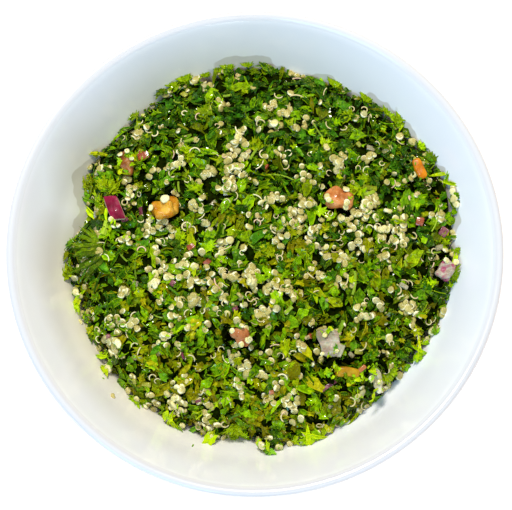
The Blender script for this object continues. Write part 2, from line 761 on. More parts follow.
def red_onion_finish(name, *tones):
    """Deep magenta skin that stops sharply at the cream-coloured cut."""
    made, tree, skin = flesh_finish(name, tones, 5 * MM, 0.1, 0.42)
    cloud = mottled(tree, object_place(tree), 0.0012, 0.35, 0.65)
    cream = mixed(tree, cloud, (0.36, 0.27, 0.14), (0.62, 0.54, 0.34))
    cut = between(tree, bit_values(tree)[2], 0.20, 0.55)
    return finished(made, Base_Color=mixed(tree, cut, skin, cream))


# %% Mix the vegetable finishes
amber = tomato_finish("amber_tomato_flesh", (0.34, 0.105, 0.001), (0.51, 0.22, 0.006), (0.68, 0.41, 0.05))
salmon = tomato_finish("salmon_tomato_flesh", (0.32, 0.080, 0.012), (0.50, 0.17, 0.038), (0.66, 0.30, 0.09))
scarlet = tomato_finish("scarlet_tomato_flesh", (0.26, 0.07, 0.015), (0.42, 0.15, 0.045), (0.58, 0.31, 0.14))
russet = tomato_finish("russet_tomato_skin", (0.10, 0.025, 0.003), (0.24, 0.075, 0.010), (0.40, 0.19, 0.05))
orange = pepper_finish("orange_pepper_skin", (0.38, 0.10, 0.001), (0.56, 0.17, 0.002), (0.66, 0.27, 0.004))
ochre = pepper_finish("ochre_pepper_flesh", (0.18, 0.080, 0.001), (0.34, 0.16, 0.002), (0.46, 0.27, 0.008))
glassy = onion_finish("glassy_onion", -72, 0.20, (0.22, 0.19, 0.10), (0.35, 0.31, 0.19), (0.50, 0.46, 0.32))
blushed = onion_finish("blushed_onion", 57, 0.85, (0.24, 0.18, 0.12), (0.36, 0.28, 0.20), (0.50, 0.42, 0.32))
STREAKED_TONES = (0.30, 0.26, 0.13), (0.46, 0.42, 0.24), (0.66, 0.62, 0.42)
streaked = onion_finish("streaked_onion", -80, 0.0, *STREAKED_TONES)
MAGENTAS = (0.12, 0.0015, 0.012), (0.20, 0.002, 0.026), (0.26, 0.004, 0.036)
magenta = red_onion_finish("red_onion_skin", *MAGENTAS)

# %% Replace the vegetables
# node, finish, slot, power, lean, relief and grain (mm)
VEGETABLES = (
    ("amber_tomato", amber, "amber_tomato_flesh", 2.4, 0, 3.2, 5.0),
    ("pink_tomato", salmon, "pink_tomato_flesh", 3.0, 0, 2.4, 4.4),
    ("tomato_scrap", scarlet, "pink_tomato_flesh", 2.6, 0, 2.2, 3.6),
    ("onion_chunk", blushed, "onion_flesh", 5.0, 0, 1.0, 4.0),
    ("onion_petal", magenta, "red_onion_skin", 9.0, 0.42, 0.4, 3.0),
    ("onion_slice", glassy, "onion_flesh", 3.0, 0, 1.6, 4.0),
    ("onion_strip", streaked, "onion_flesh", 3.0, 0, 1.3, 3.4),
    ("pepper_strip", orange, "orange_pepper_skin", 5.0, 0, 0.6, 4.0),
    ("pepper_slice", ochre, "amber_tomato_flesh", 4.0, 0, 0.8, 4.0),
    ("tomato_skin", russet, "pink_tomato_flesh", 3.0, 0, 1.6, 3.4),
)
for seed, (node, finish, slot, power, lean, relief, grain) in enumerate(VEGETABLES):
    finer_piece(node, finish, power, lean, relief * MM, grain * MM, seed)

# %% [markdown]
# ## The core
#
# Under the loose bits lies a core, so that no gap shows the inside of the heap. It is a copy of the frame's
# heap, drawn in along its normals, cut finer, and pushed up and down by noise. In the gaps of a real
# salad one sees only dark wet leaf, so the core has that finish.

# %% Make the core
CORE_DEPTH = 3.4 * MM
CORE_SINK = 2.0 * MM
CORE_RELIEF = 1.1 * MM
CORE_GRAIN = 3.2 * MM


def parsley_depth_finish():
    made, tree = start_material("wet_leaf_in_shade", Roughness=0.7, Specular_IOR_Level=0.0)
    place = object_place(tree)
    large = mottled(tree, place, 0.0035, 0.42, 0.6)
    small = mottled(tree, place, 0.0012, 0.45, 0.62)
    green = mixed(tree, large, (0.001, 0.003, 0.0002), (0.009, 0.018, 0.0004))
    speckled = mixed(tree, small, green, (0.008, 0.010, 0.0008))
    return finished(made, Base_Color=speckled, Normal=wet_relief(tree, place, 0.0012, 0.0006))


core_bm = merged_copy("salad")
core_bm.normal_update()
for vert, inward in [(v, -v.normal) for v in core_bm.verts]:
    vert.co += inward * CORE_DEPTH
    vert.co.z -= max(0, -inward.z) * CORE_SINK
long_edges = [edge for edge in core_bm.edges if edge.calc_length() > 2 * CORE_GRAIN / 3]
bmesh.ops.subdivide_edges(core_bm, edges=long_edges, cuts=1, use_grid_fill=True)
for vert in core_bm.verts:
    vert.co.z += CORE_RELIEF * noise.noise(vert.co / CORE_GRAIN)
core = object_from(core_bm, "salad_core", parsley_depth_finish())
core.data.shade_smooth()
hand_in(core, "salad")
print("core:", len(core.data.polygons), "faces")

# %% [markdown]
# ## Bits as prototypes
#
# A heap has thousands of bits of a few kinds. Each kind gets a handful of prototypes, made once with
# bmesh operators in a size of its own, and copied with a new place, turn, size and tint. A prototype keeps
# three things: its mesh, one number per point that says how near the point is to the bit's edge, and a
# cloud of sample points that tells the pile how much room it takes.

# %% Say what a prototype is
SAMPLE_STEP = 0.6 * MM


class Prototype:
    """Points, faces and sample points of one small shape that will be repeated."""

    def __init__(self, bm, edge_of):
        # some operators leave points and faces in an order that changes from run to run
        points = sorted(bm.verts, key=lambda vert: tuple(round(c / (0.001 * MM)) for c in vert.co))
        number = {vert: k for k, vert in enumerate(points)}
        faces = []
        for face in bm.faces:
            ring = [number[vert] for vert in face.verts]
            start = ring.index(min(ring))
            faces.append(ring[start:] + ring[:start])
        faces.sort()
        self.points = np.array([vert.co for vert in points])
        self.edge = np.array([edge_of(vert.co) for vert in points])
        self.corners = np.concatenate([np.array(ring) for ring in faces])
        self.sizes = np.array([len(ring) for ring in faces])
        self.samples = np.array(list(self.spread(faces)))
        self.triangles = sum(len(ring) - 2 for ring in faces)
        bm.free()

    def spread(self, faces):
        """Points spread over the faces at about the pile's cell size."""
        for ring in faces:
            first = self.points[ring[0]]
            for second, third in zip(self.points[ring[1:-1]], self.points[ring[2:]]):
                longest = max(np.linalg.norm(second - first), np.linalg.norm(third - first))
                parts = max(1, int(longest / SAMPLE_STEP + 0.01))
                for i in range(parts + 1):
                    for j in range(parts + 1 - i):
                        yield first + (second - first) * (i / parts) + (third - first) * (j / parts)


# %% Helpers for prototypes
def jolt(bm, depth, grain, *offset):
    """Pushes every point by noise, so that no bit stays regular."""
    for vert in bm.verts:
        vert.co += depth * noise.noise_vector(vert.co / grain + Vector(offset))


def centred(bm):
    """Moves the middle of the points to the origin."""
    middle = sum((vert.co for vert in bm.verts), Vector()) / len(bm.verts)
    bmesh.ops.translate(bm, verts=bm.verts, vec=-middle)
    return bm


def bent_tube(sides, thickness, curl_radius, sweep, steps, rise=0.0):
    """A closed tube along an arc of sweep degrees, and its two end faces."""
    bm = bmesh.new()
    bmesh.ops.create_circle(bm, cap_ends=True, segments=sides, radius=thickness)
    bmesh.ops.rotate(bm, verts=bm.verts, matrix=Matrix.Rotation(math.pi / 2, 3, "X"))
    bmesh.ops.translate(bm, verts=bm.verts, vec=(curl_radius, 0, 0))
    bmesh.ops.spin(
        bm,
        geom=list(bm.verts) + list(bm.edges) + list(bm.faces),
        cent=(0, 0, 0),
        axis=(0, 0, 1),
        dvec=(0, 0, rise / steps),
        angle=math.radians(sweep),
        steps=steps,
    )
    bmesh.ops.remove_doubles(bm, verts=bm.verts, dist=0.001 * MM)
    bmesh.ops.recalc_face_normals(bm, faces=bm.faces)
    return bm, [face for face in bm.faces if len(face.verts) == sides]


print("sample points lie", SAMPLE_STEP / MM, "mm apart")

# %% [markdown]
# ## Quinoa grains
#
# A cooked grain is a plump, slightly see-through coin, about 2.8 mm wide. Its edge is a paler ring, and one
# side is often dented where the germ has sprung off. A short profile is spun in nine steps, which is
# enough faces at this size, and then each prototype is dented and squeezed a little differently.

# %% Make the grain prototypes
GRAIN_RADIUS = 1.56 * MM
GRAIN_STEPS = 9
GRAIN_PROFILE = ((0, -0.22), (0.58, -0.42), (0.96, -0.18), (0.96, 0.18), (0.58, 0.42), (0, 0.22))


def ring_of_germ(p):
    """From 0 to 1, how much of the pale germ shows: a crescent along one side of the edge."""
    out = min(1, max(0, (math.hypot(p.x, p.y) / GRAIN_RADIUS - 0.45) * 2.4))
    return out * (0.62 + 0.38 * math.cos(math.atan2(p.y, p.x)))


def grain_shape(seed):
    profile = [(out * GRAIN_RADIUS, up * GRAIN_RADIUS) for out, up in reversed(GRAIN_PROFILE)]
    bm = spin_profile(profile, GRAIN_STEPS)
    dent = Vector((math.cos(seed * 1.7), math.sin(seed * 1.7), 0.3)) * GRAIN_RADIUS
    for vert in bm.verts:
        near = max(0, 1 - (vert.co - dent).length / (0.9 * GRAIN_RADIUS))
        vert.co -= dent * 0.45 * near * (seed % 3 > 0)
    jolt(bm, 0.22 * GRAIN_RADIUS, GRAIN_RADIUS, seed * 5.0, 0, 0)
    bmesh.ops.scale(bm, vec=(1, 0.88 + 0.03 * (seed % 5), 1), verts=bm.verts)
    check_closed(bm, "grain")
    return Prototype(bm, ring_of_germ)


grains = [grain_shape(seed) for seed in range(8)]
print("a grain has", grains[0].triangles, "triangles")

# %% [markdown]
# ## Germ threads
#
# When quinoa cooks, the germ springs off as a tiny pale hook or ring. That is a thin tube along an arc, so
# `bent_tube` spins a small disc about an axis beside it, with `dvec` lifting it a little at each step, and
# both ends are drawn in. A few threads have straightened out.

# %% Make the thread prototypes
THREAD_THICKNESS = 0.25 * MM
THREAD_SIDES = 5
THREAD_STEPS = 9


def thread_shape(curl_radius, sweep, rise):
    """sweep is in degrees; a large curl radius with a small sweep is nearly straight."""
    bm, ends = bent_tube(THREAD_SIDES, THREAD_THICKNESS, curl_radius, sweep, THREAD_STEPS, rise)
    for end in ends:
        at_end = Matrix.Translation(-end.calc_center_median())
        bmesh.ops.scale(bm, vec=(0.45, 0.45, 0.45), verts=end.verts, space=at_end)
    check_closed(bm, "thread")
    return Prototype(centred(bm), lambda p: 1.0)


# curl radius (mm), sweep, rise (mm)
THREADS = (
    (1.25, 250, 0.5),
    (1.05, 300, 0.7),
    (1.45, 215, 0.3),
    (1.7, 170, 0.6),
    (1.3, 235, 0.9),
    (4.0, 65, 0.4),
    (2.4, 110, 0.2),
)
threads = [thread_shape(radius * MM, sweep, rise * MM) for radius, sweep, rise in THREADS]
print("a thread has", threads[0].triangles, "triangles")

# %% [markdown]
# ## Chopped leaf
#
# Parsley leaves have toothed lobes, and the knife has cut them into chips with some straight sides. So a
# disc gets a ring inside it, its outline is pulled out into teeth, one or two random planes cut it with
# `bisect_plane`, it is folded along the middle vein and cupped, and `solidify` gives it the thickness of a
# leaf. Tiny chips have no teeth and fewer faces, curly ones are narrower, with deeper teeth and a wave.

# %% Cut a chip of leaf
LEAF_THICKNESS = 0.22 * MM


def leaf_bm(length, width, sides, teeth, fold, cup, wave, cuts, seed):
    """A chip of leaf lying level along X; teeth is how deep every second outline point goes in."""
    dice = random.Random(seed)
    bm = bmesh.new()
    bmesh.ops.create_circle(bm, cap_ends=True, segments=sides, radius=1)
    for k, vert in enumerate(list(bm.verts)):
        vert.co *= 1 - teeth * (k % 2) + 0.16 * dice.uniform(-1, 1)
    inner = bmesh.ops.inset_region(bm, faces=list(bm.faces), thickness=0.42, use_even_offset=False)
    middle = [face for face in bm.faces if face not in inner["faces"]]
    bmesh.ops.poke(bm, faces=middle)
    for _ in range(cuts):
        heading = dice.uniform(0, 2 * math.pi)
        away = Vector((math.cos(heading), math.sin(heading), 0))
        everything = list(bm.verts) + list(bm.edges) + list(bm.faces)
        cut = away * dice.uniform(0.25, 0.6)
        bmesh.ops.bisect_plane(bm, geom=everything, plane_co=cut, plane_no=away, clear_outer=True)
    bmesh.ops.remove_doubles(bm, verts=bm.verts, dist=0.06)
    bmesh.ops.scale(bm, vec=(length / 2, width / 2, 1), verts=bm.verts)
    for vert in bm.verts:
        x, y = vert.co.x / length, vert.co.y / width
        vert.co.z = width * (fold * abs(y) - cup * (x * x) * 2 + wave * math.sin(9 * x + seed) * abs(y) * 2)
    bmesh.ops.recalc_face_normals(bm, faces=bm.faces)
    bmesh.ops.solidify(bm, geom=list(bm.faces), thickness=LEAF_THICKNESS)
    bmesh.ops.recalc_face_normals(bm, faces=bm.faces)
    check_closed(bm, "leaf")
    return centred(bm)


def leaf_shape(*measures):
    """The prototype of one chip of leaf."""
    width = measures[1]
    return Prototype(leaf_bm(*measures), lambda p: min(1, abs(p.y) / (0.35 * width)))


# %% Make the leaf prototypes
# length, width (mm), sides, teeth, fold, cup, wave, cuts
TINY_LEAVES = (
    (3.2, 1.6, 7, 0.10, 0.5, 0.3, 0.0, 1),
    (2.6, 2.0, 6, 0.20, 0.3, 0.5, 0.0, 1),
    (3.8, 1.2, 7, 0.10, 0.9, 0.2, 0.1, 0),
    (2.2, 1.8, 6, 0.30, 0.2, 0.4, 0.0, 1),
    (3.4, 2.2, 8, 0.25, 0.4, 0.2, 0.1, 2),
    (4.4, 1.4, 8, 0.20, 0.7, 0.4, 0.1, 1),
    (3.8, 0.8, 6, 0.00, 0.6, 0.6, 0.0, 0),
    (2.8, 0.7, 6, 0.00, 0.4, 0.4, 0.0, 0),
)
CHOPPED_LEAVES = (
    (5.2, 3.6, 12, 0.22, 0.35, 0.25, 0.05, 1),
    (6.4, 3.0, 12, 0.26, 0.55, 0.20, 0.10, 1),
    (4.6, 3.8, 10, 0.20, 0.25, 0.45, 0.05, 2),
    (5.8, 2.6, 10, 0.18, 0.90, 0.25, 0.10, 1),
    (4.8, 3.2, 11, 0.28, 0.45, 0.15, 0.15, 2),
    (7.2, 3.8, 14, 0.28, 0.50, 0.35, 0.12, 2),
    (6.0, 4.4, 13, 0.24, 0.30, 0.55, 0.08, 2),
    (5.4, 2.2, 10, 0.15, 0.70, 0.60, 0.05, 0),
)
CURLY_LEAVES = (
    (4.8, 3.2, 14, 0.46, 0.55, 0.40, 0.35, 1),
    (5.6, 2.6, 16, 0.42, 0.75, 0.30, 0.40, 1),
    (4.2, 3.4, 14, 0.50, 0.35, 0.60, 0.30, 1),
    (6.2, 3.0, 16, 0.44, 0.60, 0.45, 0.45, 2),
)


def leaf_kind(table, first_seed):
    """Two prototypes of every row of a table."""
    made = []
    for k, (length, width, *rest) in enumerate(table):
        for seed in (first_seed + 2 * k, first_seed + 2 * k + 1):
            made.append(leaf_shape(length * MM, width * MM, *rest, seed))
    return made


tiny_leaves = leaf_kind(TINY_LEAVES, 100)
chopped_leaves = leaf_kind(CHOPPED_LEAVES, 200)
curly_leaves = leaf_kind(CURLY_LEAVES, 300)
for label, kind in (("tiny", tiny_leaves), ("chopped", chopped_leaves), ("curly", curly_leaves)):
    print(label, "leaves have", [p.triangles for p in kind], "triangles")

# %% [markdown]
# ## Stalks and blades
#
# Stalks of parsley and spring onion are straight or slightly bent green tubes with cut ends, so they come
# from the same tube as the threads, thicker, and with ends that are pushed in. Blades are long narrow
# chips of leaf. Both point every way and break up the heap's even texture.

# %% Make the stalk and blade prototypes
STALK_SIDES = 6
STALK_STEPS = 4


def stalk_bm(length, radius, bend, hollow=0.0):
    """A cut piece of stalk along Y; bend is the angle in degrees that it turns through towards -X."""
    curl = length / math.radians(bend)
    bm, ends = bent_tube(STALK_SIDES, radius, curl, bend, STALK_STEPS)
    for end in ends:
        bmesh.ops.inset_region(bm, faces=[end], thickness=0.35 * radius, depth=-hollow * radius)
    bmesh.ops.translate(bm, verts=bm.verts, vec=(-curl, 0, 0))
    check_closed(bm, "stalk")
    return bm


def stalk_shape(length, radius, bend, hollow):
    """The prototype of one stalk; its measures are in mm."""
    return Prototype(centred(stalk_bm(length * MM, radius * MM, bend, hollow)), lambda p: 1.0)


# length, radius (mm), bend
STALKS = ((5.5, 0.50, 20), (7.5, 0.45, 30), (4.0, 0.60, 12), (6.5, 0.40, 45), (3.4, 0.75, 10))
stalks = [stalk_shape(*measures, 0.2) for measures in STALKS]
# length, width (mm), sides, teeth, fold, cup, wave, cuts
BLADES = (
    (9.0, 1.5, 8, 0.05, 0.60, 0.9, 0.0, 0),
    (11.0, 1.3, 8, 0.10, 0.80, 0.7, 0.1, 0),
    (7.5, 1.8, 8, 0.10, 0.50, 0.6, 0.1, 1),
    (8.5, 1.2, 8, 0.15, 0.70, 1.2, 0.2, 0),
)
blades = leaf_kind(BLADES, 400)
print("a stalk has", stalks[0].triangles, "and a blade", blades[0].triangles, "triangles")

# %% [markdown]
# ## Sprigs
#
# Here and there a whole sprig has escaped the knife: a thin stalk with pairs of small toothed leaves and
# one at its tip. Curly parsley comes off as tufts, fans of folded lobes in two layers, and one long narrow
# fan looks like a fern's frond. All are put together from the stalk and the leaf that exist already, by
# writing each to a spare mesh, moving that into place, and reading it back into one bmesh. A few single
# leaves and stalks, larger than the chips, are made for the places where they catch the eye.


# %% Put sprigs and tufts together
def add_moved(whole, bm, matrix):
    """Adds a bmesh to another one, moved by a matrix."""
    spare = bpy.data.meshes.new("spare")
    bm.to_mesh(spare)
    bm.free()
    spare.transform(matrix)
    whole.from_mesh(spare)
    bpy.data.meshes.remove(spare)


def sprig_shape(length, bend, pairs, leaf_length, leaf_width, teeth, spread, seed):
    """A sprig along X, its foot at the origin; spread is the angle of its leaves to the stalk."""
    dice = random.Random(seed)
    curl = length / math.radians(bend)
    whole = stalk_bm(length, 0.32 * MM, bend)
    places = [((k + 1) / (pairs + 0.4), side * spread) for k in range(pairs) for side in (-1, 1)]
    for k, (share, swing) in enumerate([*places, (1.0, 0)]):
        turned = math.radians(bend) * share
        foot = Vector((curl * (math.cos(turned) - 1), curl * math.sin(turned), 0.3 * MM))
        size = dice.uniform(0.8, 1.15)
        leaf = leaf_bm(leaf_length * size, leaf_width * size, 12, teeth, 0.6, 0.4, 0.2, 0, seed + k)
        heading = math.pi / 2 + turned + math.radians(swing + dice.uniform(-12, 12))
        lean = Matrix.Rotation(math.radians(dice.uniform(-25, 5)), 4, "Y")
        outwards = Matrix.Translation((0.42 * leaf_length * size, 0, 0))
        turn = Matrix.Rotation(heading, 4, "Z")
        add_moved(whole, leaf, Matrix.Translation(foot) @ turn @ lean @ outwards)
    bmesh.ops.rotate(whole, verts=whole.verts, matrix=Matrix.Rotation(-math.pi / 2, 3, "Z"))
    return Prototype(whole, lambda p: 0.75)


def tuft_shape(lobes, length, width, teeth, spread, seed):
    """A fan of folded lobes round +X in two layers, their foot at the origin; spread is in degrees."""
    dice = random.Random(seed)
    whole = bmesh.new()
    for k in range(lobes):
        swing = spread * (2 * k / (lobes - 1) - 1) + dice.uniform(-6, 6)
        size = dice.uniform(0.75, 1.1) * (1 - 0.25 * abs(swing) / 90)
        leaf = leaf_bm(length * size, width * size, 14, teeth, 0.45, 0.4, 0.25, 0, seed + k)
        lean = Matrix.Rotation(math.radians(-4 - 12 * (k % 2) - dice.uniform(0, 8)), 4, "Y")
        outwards = Matrix.Translation((0.45 * length * size, 0, 0.5 * MM * (k % 2)))
        add_moved(whole, leaf, Matrix.Rotation(math.radians(swing), 4, "Z") @ lean @ outwards)
    return Prototype(whole, lambda p: 1.0)


# %% Make the few large prototypes
# length (mm), bend, pairs, leaf length and width (mm), teeth, spread, seed
SPRIGS = {
    "sprig": (10.0, 25, 3, 4.0, 2.2, 0.35, 45, 500),
    "lobed tip": (9.0, 15, 1, 3.4, 2.2, 0.25, 35, 520),
}
# lobes, length and width (mm), teeth, spread, seed
TUFTS = {
    "curly tuft": (9, 8.5, 3.4, 0.42, 62, 700),
    "fern tuft": (9, 17.0, 2.6, 0.30, 48, 720),
    "small tuft": (6, 6.0, 2.8, 0.40, 60, 740),
}
# length and width (mm), sides, teeth, fold, cup, wave, cuts, seed
SINGLES = {
    "comb": (11.0, 6.5, 22, 0.42, 0.35, 0.25, 0.10, 0, 600),
    "broad": (8.5, 5.5, 16, 0.24, 0.30, 0.35, 0.10, 0, 601),
    "pointed": (10.0, 4.2, 12, 0.12, 0.45, 0.30, 0.05, 0, 602),
    "blade": (8.0, 2.0, 8, 0.05, 0.70, 0.40, 0.00, 0, 603),
    "needle": (11.0, 1.0, 8, 0.05, 0.60, 0.60, 0.00, 0, 604),
    "petal": (5.5, 3.4, 10, 0.06, 0.30, 0.50, 0.05, 0, 605),
    "flat chip": (6.0, 4.2, 11, 0.12, 0.15, 0.20, 0.05, 1, 606),
}
# length, radius (mm), bend, hollow
TUBES = {
    "tube": (4.6, 0.95, 8, 0.6),
    "thick stalk": (7.0, 1.2, 14, 0.4),
    "thin stalk": (12.0, 0.35, 35, 0.0),
}
few = {}
for name, (length, bend, pairs, leaf_length, leaf_width, *rest) in SPRIGS.items():
    few[name] = sprig_shape(length * MM, bend, pairs, leaf_length * MM, leaf_width * MM, *rest)
for name, (lobes, length, width, *rest) in TUFTS.items():
    few[name] = tuft_shape(lobes, length * MM, width * MM, *rest)
for name, (length, width, *rest) in SINGLES.items():
    few[name] = leaf_shape(length * MM, width * MM, *rest)
for name, measures in TUBES.items():
    few[name] = stalk_shape(*measures)
print("triangles:", {name: shape.triangles for name, shape in few.items()})

# %% [markdown]
# ## Small dice and lumps
#
# The knife also leaves crumbs of onion, tomato and pepper that are smaller than a grain of rice is long,
# and thin slivers of onion. They are cubes with bevelled edges, made uneven by noise. Starch binds grains
# into a mash, so a clump of them sits on a soft flat lump.

# %% Make the crumb and lump prototypes
CRUMBS = ((2.6, 1.9, 1.3), (3.2, 1.5, 1.2), (2.0, 1.7, 1.5), (3.6, 2.4, 0.9), (2.4, 2.2, 0.8))
SLIVERS = ((6.5, 1.5, 0.7), (8.0, 1.8, 0.8), (5.0, 1.2, 0.7))
CRUMB_SOFTNESS = 0.25
LUMP_RADIUS = 2.2 * MM


def crumb_shape(sides, seed):
    """A block with bevelled edges and the given sides in mm."""
    size = [side * MM for side in sides]
    bm = bmesh.new()
    bmesh.ops.create_cube(bm, size=1)
    bmesh.ops.scale(bm, vec=size, verts=bm.verts)
    bmesh.ops.bevel(
        bm,
        geom=list(bm.edges),
        offset=CRUMB_SOFTNESS * min(size),
        offset_type="OFFSET",
        segments=1,
        profile=0.5,
        affect="EDGES",
        material=-1,
    )
    jolt(bm, 0.22 * min(size), 0.7 * min(size), seed, 0, 0)
    check_closed(bm, "crumb")
    return Prototype(bm, lambda p: 1.0)


def lump_shape(seed):
    """A knob of starchy mash that holds a clump of grains together."""
    bm = bmesh.new()
    bmesh.ops.create_icosphere(bm, subdivisions=2, radius=LUMP_RADIUS)
    jolt(bm, 0.9 * MM, 1.8 * MM, seed * 3.7, 0, 0)
    bmesh.ops.scale(bm, vec=(1.2, 0.85, 0.6), verts=bm.verts)
    check_closed(bm, "lump")
    return Prototype(bm, lambda p: 0.3)


crumbs = [crumb_shape(sides, 7.0 * k) for k, sides in enumerate(CRUMBS)]
slivers = [crumb_shape(sides, 40 + 9.0 * k) for k, sides in enumerate(SLIVERS)]
lumps = [lump_shape(seed) for seed in range(5)]
print("a crumb has", crumbs[0].triangles, "and a lump", lumps[0].triangles, "triangles")

# %% [markdown]
# ## The pile
#
# `Pile` drops bits one at a time. A bit gets a turn that suits the slope under it, its sample points are
# moved over the height map, and it comes to rest where they first touch, apart from the few that may sink
# in, as soft leaf does. If it would stand too far above the finished heap, or hang out over its edge, it
# isn't kept. Otherwise the height map rises under it. No two bits pass far through each other this way,
# and real gaps are left between them. A salad isn't evenly full either: noise sinks hollows between the
# clumps, and a bit that lies deep gets a darker tone, because less light reaches it.

# %% Measure the room to fill
EDGE_BAND = 3  # cells outside the heap where a leaf's tip may lie
HOLLOW_SIZE = 4.2 * MM
HOLLOW_DEPTH = 4.6 * MM
HOLLOW_START = -0.07  # the noise below which a hollow begins
HOLLOW_RAMP = 0.32  # how much lower the noise is where the hollow is full
LEAF_ROOM = 1.5 * MM  # how far above the wall a leaf's tip may lie
SLOPE_ROUNDS = 30  # how often the heap is smoothed before its slope is taken
UP = Vector((0, 0, 1))


def smoothed(heights, rounds):
    """The map averaged with its neighbours a number of times."""
    for _ in range(rounds):
        wide = np.pad(heights, 1, mode="edge")
        heights = (wide[:-2, 1:-1] + wide[2:, 1:-1] + wide[1:-1, :-2] + wide[1:-1, 2:]) / 4
    return heights


def grown(mask, cells):
    """The mask with a border of that many cells added."""
    for _ in range(cells):
        wide = np.pad(mask, 1)
        mask = wide[:-2, 1:-1] | wide[2:, 1:-1] | wide[1:-1, :-2] | wide[1:-1, 2:] | mask
    return mask


def core_map():
    """Height of the core over each cell of the heap."""
    bm = bmesh.new()
    bm.from_mesh(core.data)
    tree = BVHTree.FromBMesh(bm)
    heights = wall_map.copy()
    for i, j in np.argwhere(in_heap):
        hit = tree.ray_cast(Vector((centres[i], centres[j], 1.0)), DOWN)[0]
        if hit:
            heights[i, j] = max(hit.z, heights[i, j])
    bm.free()
    return heights


def hollow_map():
    """How hollow each cell is, from 0 on the clumps to 1 in the dark gaps between them."""
    hollows = np.zeros_like(target_map)
    for i, j in np.argwhere(in_heap):
        here = Vector((centres[i], centres[j], 0))
        cloud = noise.noise(here / HOLLOW_SIZE) + 0.5 * noise.noise(here / (0.45 * HOLLOW_SIZE))
        hollows[i, j] = min(1, max(0, (HOLLOW_START - cloud) / HOLLOW_RAMP))
    return hollows


aim_map = target_map - HOLLOW_DEPTH * hollow_map()
heights_now = np.where(on_dice & in_heap, dice_map, core_map())
ceiling_map = np.where(grown(in_heap, EDGE_BAND), np.maximum(aim_map, wall_map + LEAF_ROOM), -1.0)
slope_x, slope_y = np.gradient(smoothed(target_map, SLOPE_ROUNDS), CELL)
room = (target_map - heights_now)[in_heap]
print("room to fill:", round(float(room.mean()) / MM, 2), "mm on average")

# %% Define the pile
DEPTH_SHADE = 0.20  # how much darker a bit is for each millimetre that it lies deeper
SHADED_DEPTHS = (-1, 4)  # mm below the finished heap, between which the tone changes


def clipped(value, low=0, high=1):
    """The value as a plain number, kept between two ends."""
    return float(np.clip(value, low, high))


def slope_normal(x, y):
    """The direction that points straight out of the smoothed heap at a place."""
    i, j = cell_of(x), cell_of(y)
    return Vector((-slope_x[i, j], -slope_y[i, j], 1)).normalized()


class Pile:
    """The heights reached so far and the bits kept, by kind."""

    def __init__(self, heights, ceiling, seed):
        self.heights = heights
        self.ceiling = ceiling
        self.draw = np.random.default_rng(seed)
        self.cells = np.argwhere(in_heap & ~on_dice)
        self.kept = {}

    def pick_place(self, tries=6):
        """The lowest-lying of a few random cells, as (x, y)."""
        picks = self.cells[self.draw.integers(len(self.cells), size=tries)]
        gaps = aim_map[picks[:, 0], picks[:, 1]] - self.heights[picks[:, 0], picks[:, 1]]
        i, j = picks[int(np.argmax(gaps))]
        return centres[i], centres[j]

    def turn_at(self, x, y, tilt):
        """A random turn about the slope's normal, tipped by about tilt degrees."""
        spin = Matrix.Rotation(self.draw.uniform(0, 2 * math.pi), 3, "Z")
        heading = self.draw.uniform(0, 2 * math.pi)
        axis = Vector((math.cos(heading), math.sin(heading), 0))
        tip = Matrix.Rotation(math.radians(abs(self.draw.normal(0, tilt))), 3, axis)
        return np.array(slope_normal(x, y).to_track_quat("Z", "Y").to_matrix() @ tip @ spin)

    def drop(self, kind, prototypes, x, y, tilt, size, sink, above, tone=None, hue=None, turn=None):
        """Drops one bit; returns its place, or None where it doesn't fit."""
        which = int(self.draw.integers(len(prototypes)))
        own_tone, own_hue = self.draw.uniform(size=2)
        tone = own_tone if tone is None else tone
        hue = own_hue if hue is None else hue
        matrix = (self.turn_at(x, y, tilt) if turn is None else turn) * size
        samples = prototypes[which].samples @ matrix.T
        i = ((samples[:, 0] + x + GRID_HALF) / CELL).astype(int)
        j = ((samples[:, 1] + y + GRID_HALF) / CELL).astype(int)
        if min(i.min(), j.min()) < 0 or max(i.max(), j.max()) >= GRID_CELLS:
            return None
        lift = np.quantile(self.heights[i, j] - samples[:, 2], 1 - sink)
        if (samples[:, 2] + lift - self.ceiling[i, j]).max() > above:
            return None
        np.maximum.at(self.heights, (i, j), samples[:, 2] + lift)
        depth = clipped((target_map[cell_of(x), cell_of(y)] - lift) / MM, *SHADED_DEPTHS)
        place = (x, y, lift)
        bit = (prototypes[which], matrix, place, clipped(tone - DEPTH_SHADE * depth), hue)
        self.kept.setdefault(kind, []).append(bit)
        return place


pile = Pile(heights_now, ceiling_map, seed=5)
print("cells to drop on:", len(pile.cells))

# %% [markdown]
# ## Dropping the bits
#
# The order is that of a salad bowl: a bed of dark leaf fills the deep gaps, the body of the heap mixes all
# kinds, and clumps of grain, bright leaf and the light threads end up on top. Grains stick together in
# clumps, so a clump is dropped as a few grains round one place. Each kind has its own bell curve of tones,
# and a wandering noise makes some regions leafier and others rich in grain, as the spoon leaves them. Tone
# and tint wander by place too: whole tufts are bright or dark, and the back of the heap is dimmer, with
# fewer olive leaves, because it turns from the window.

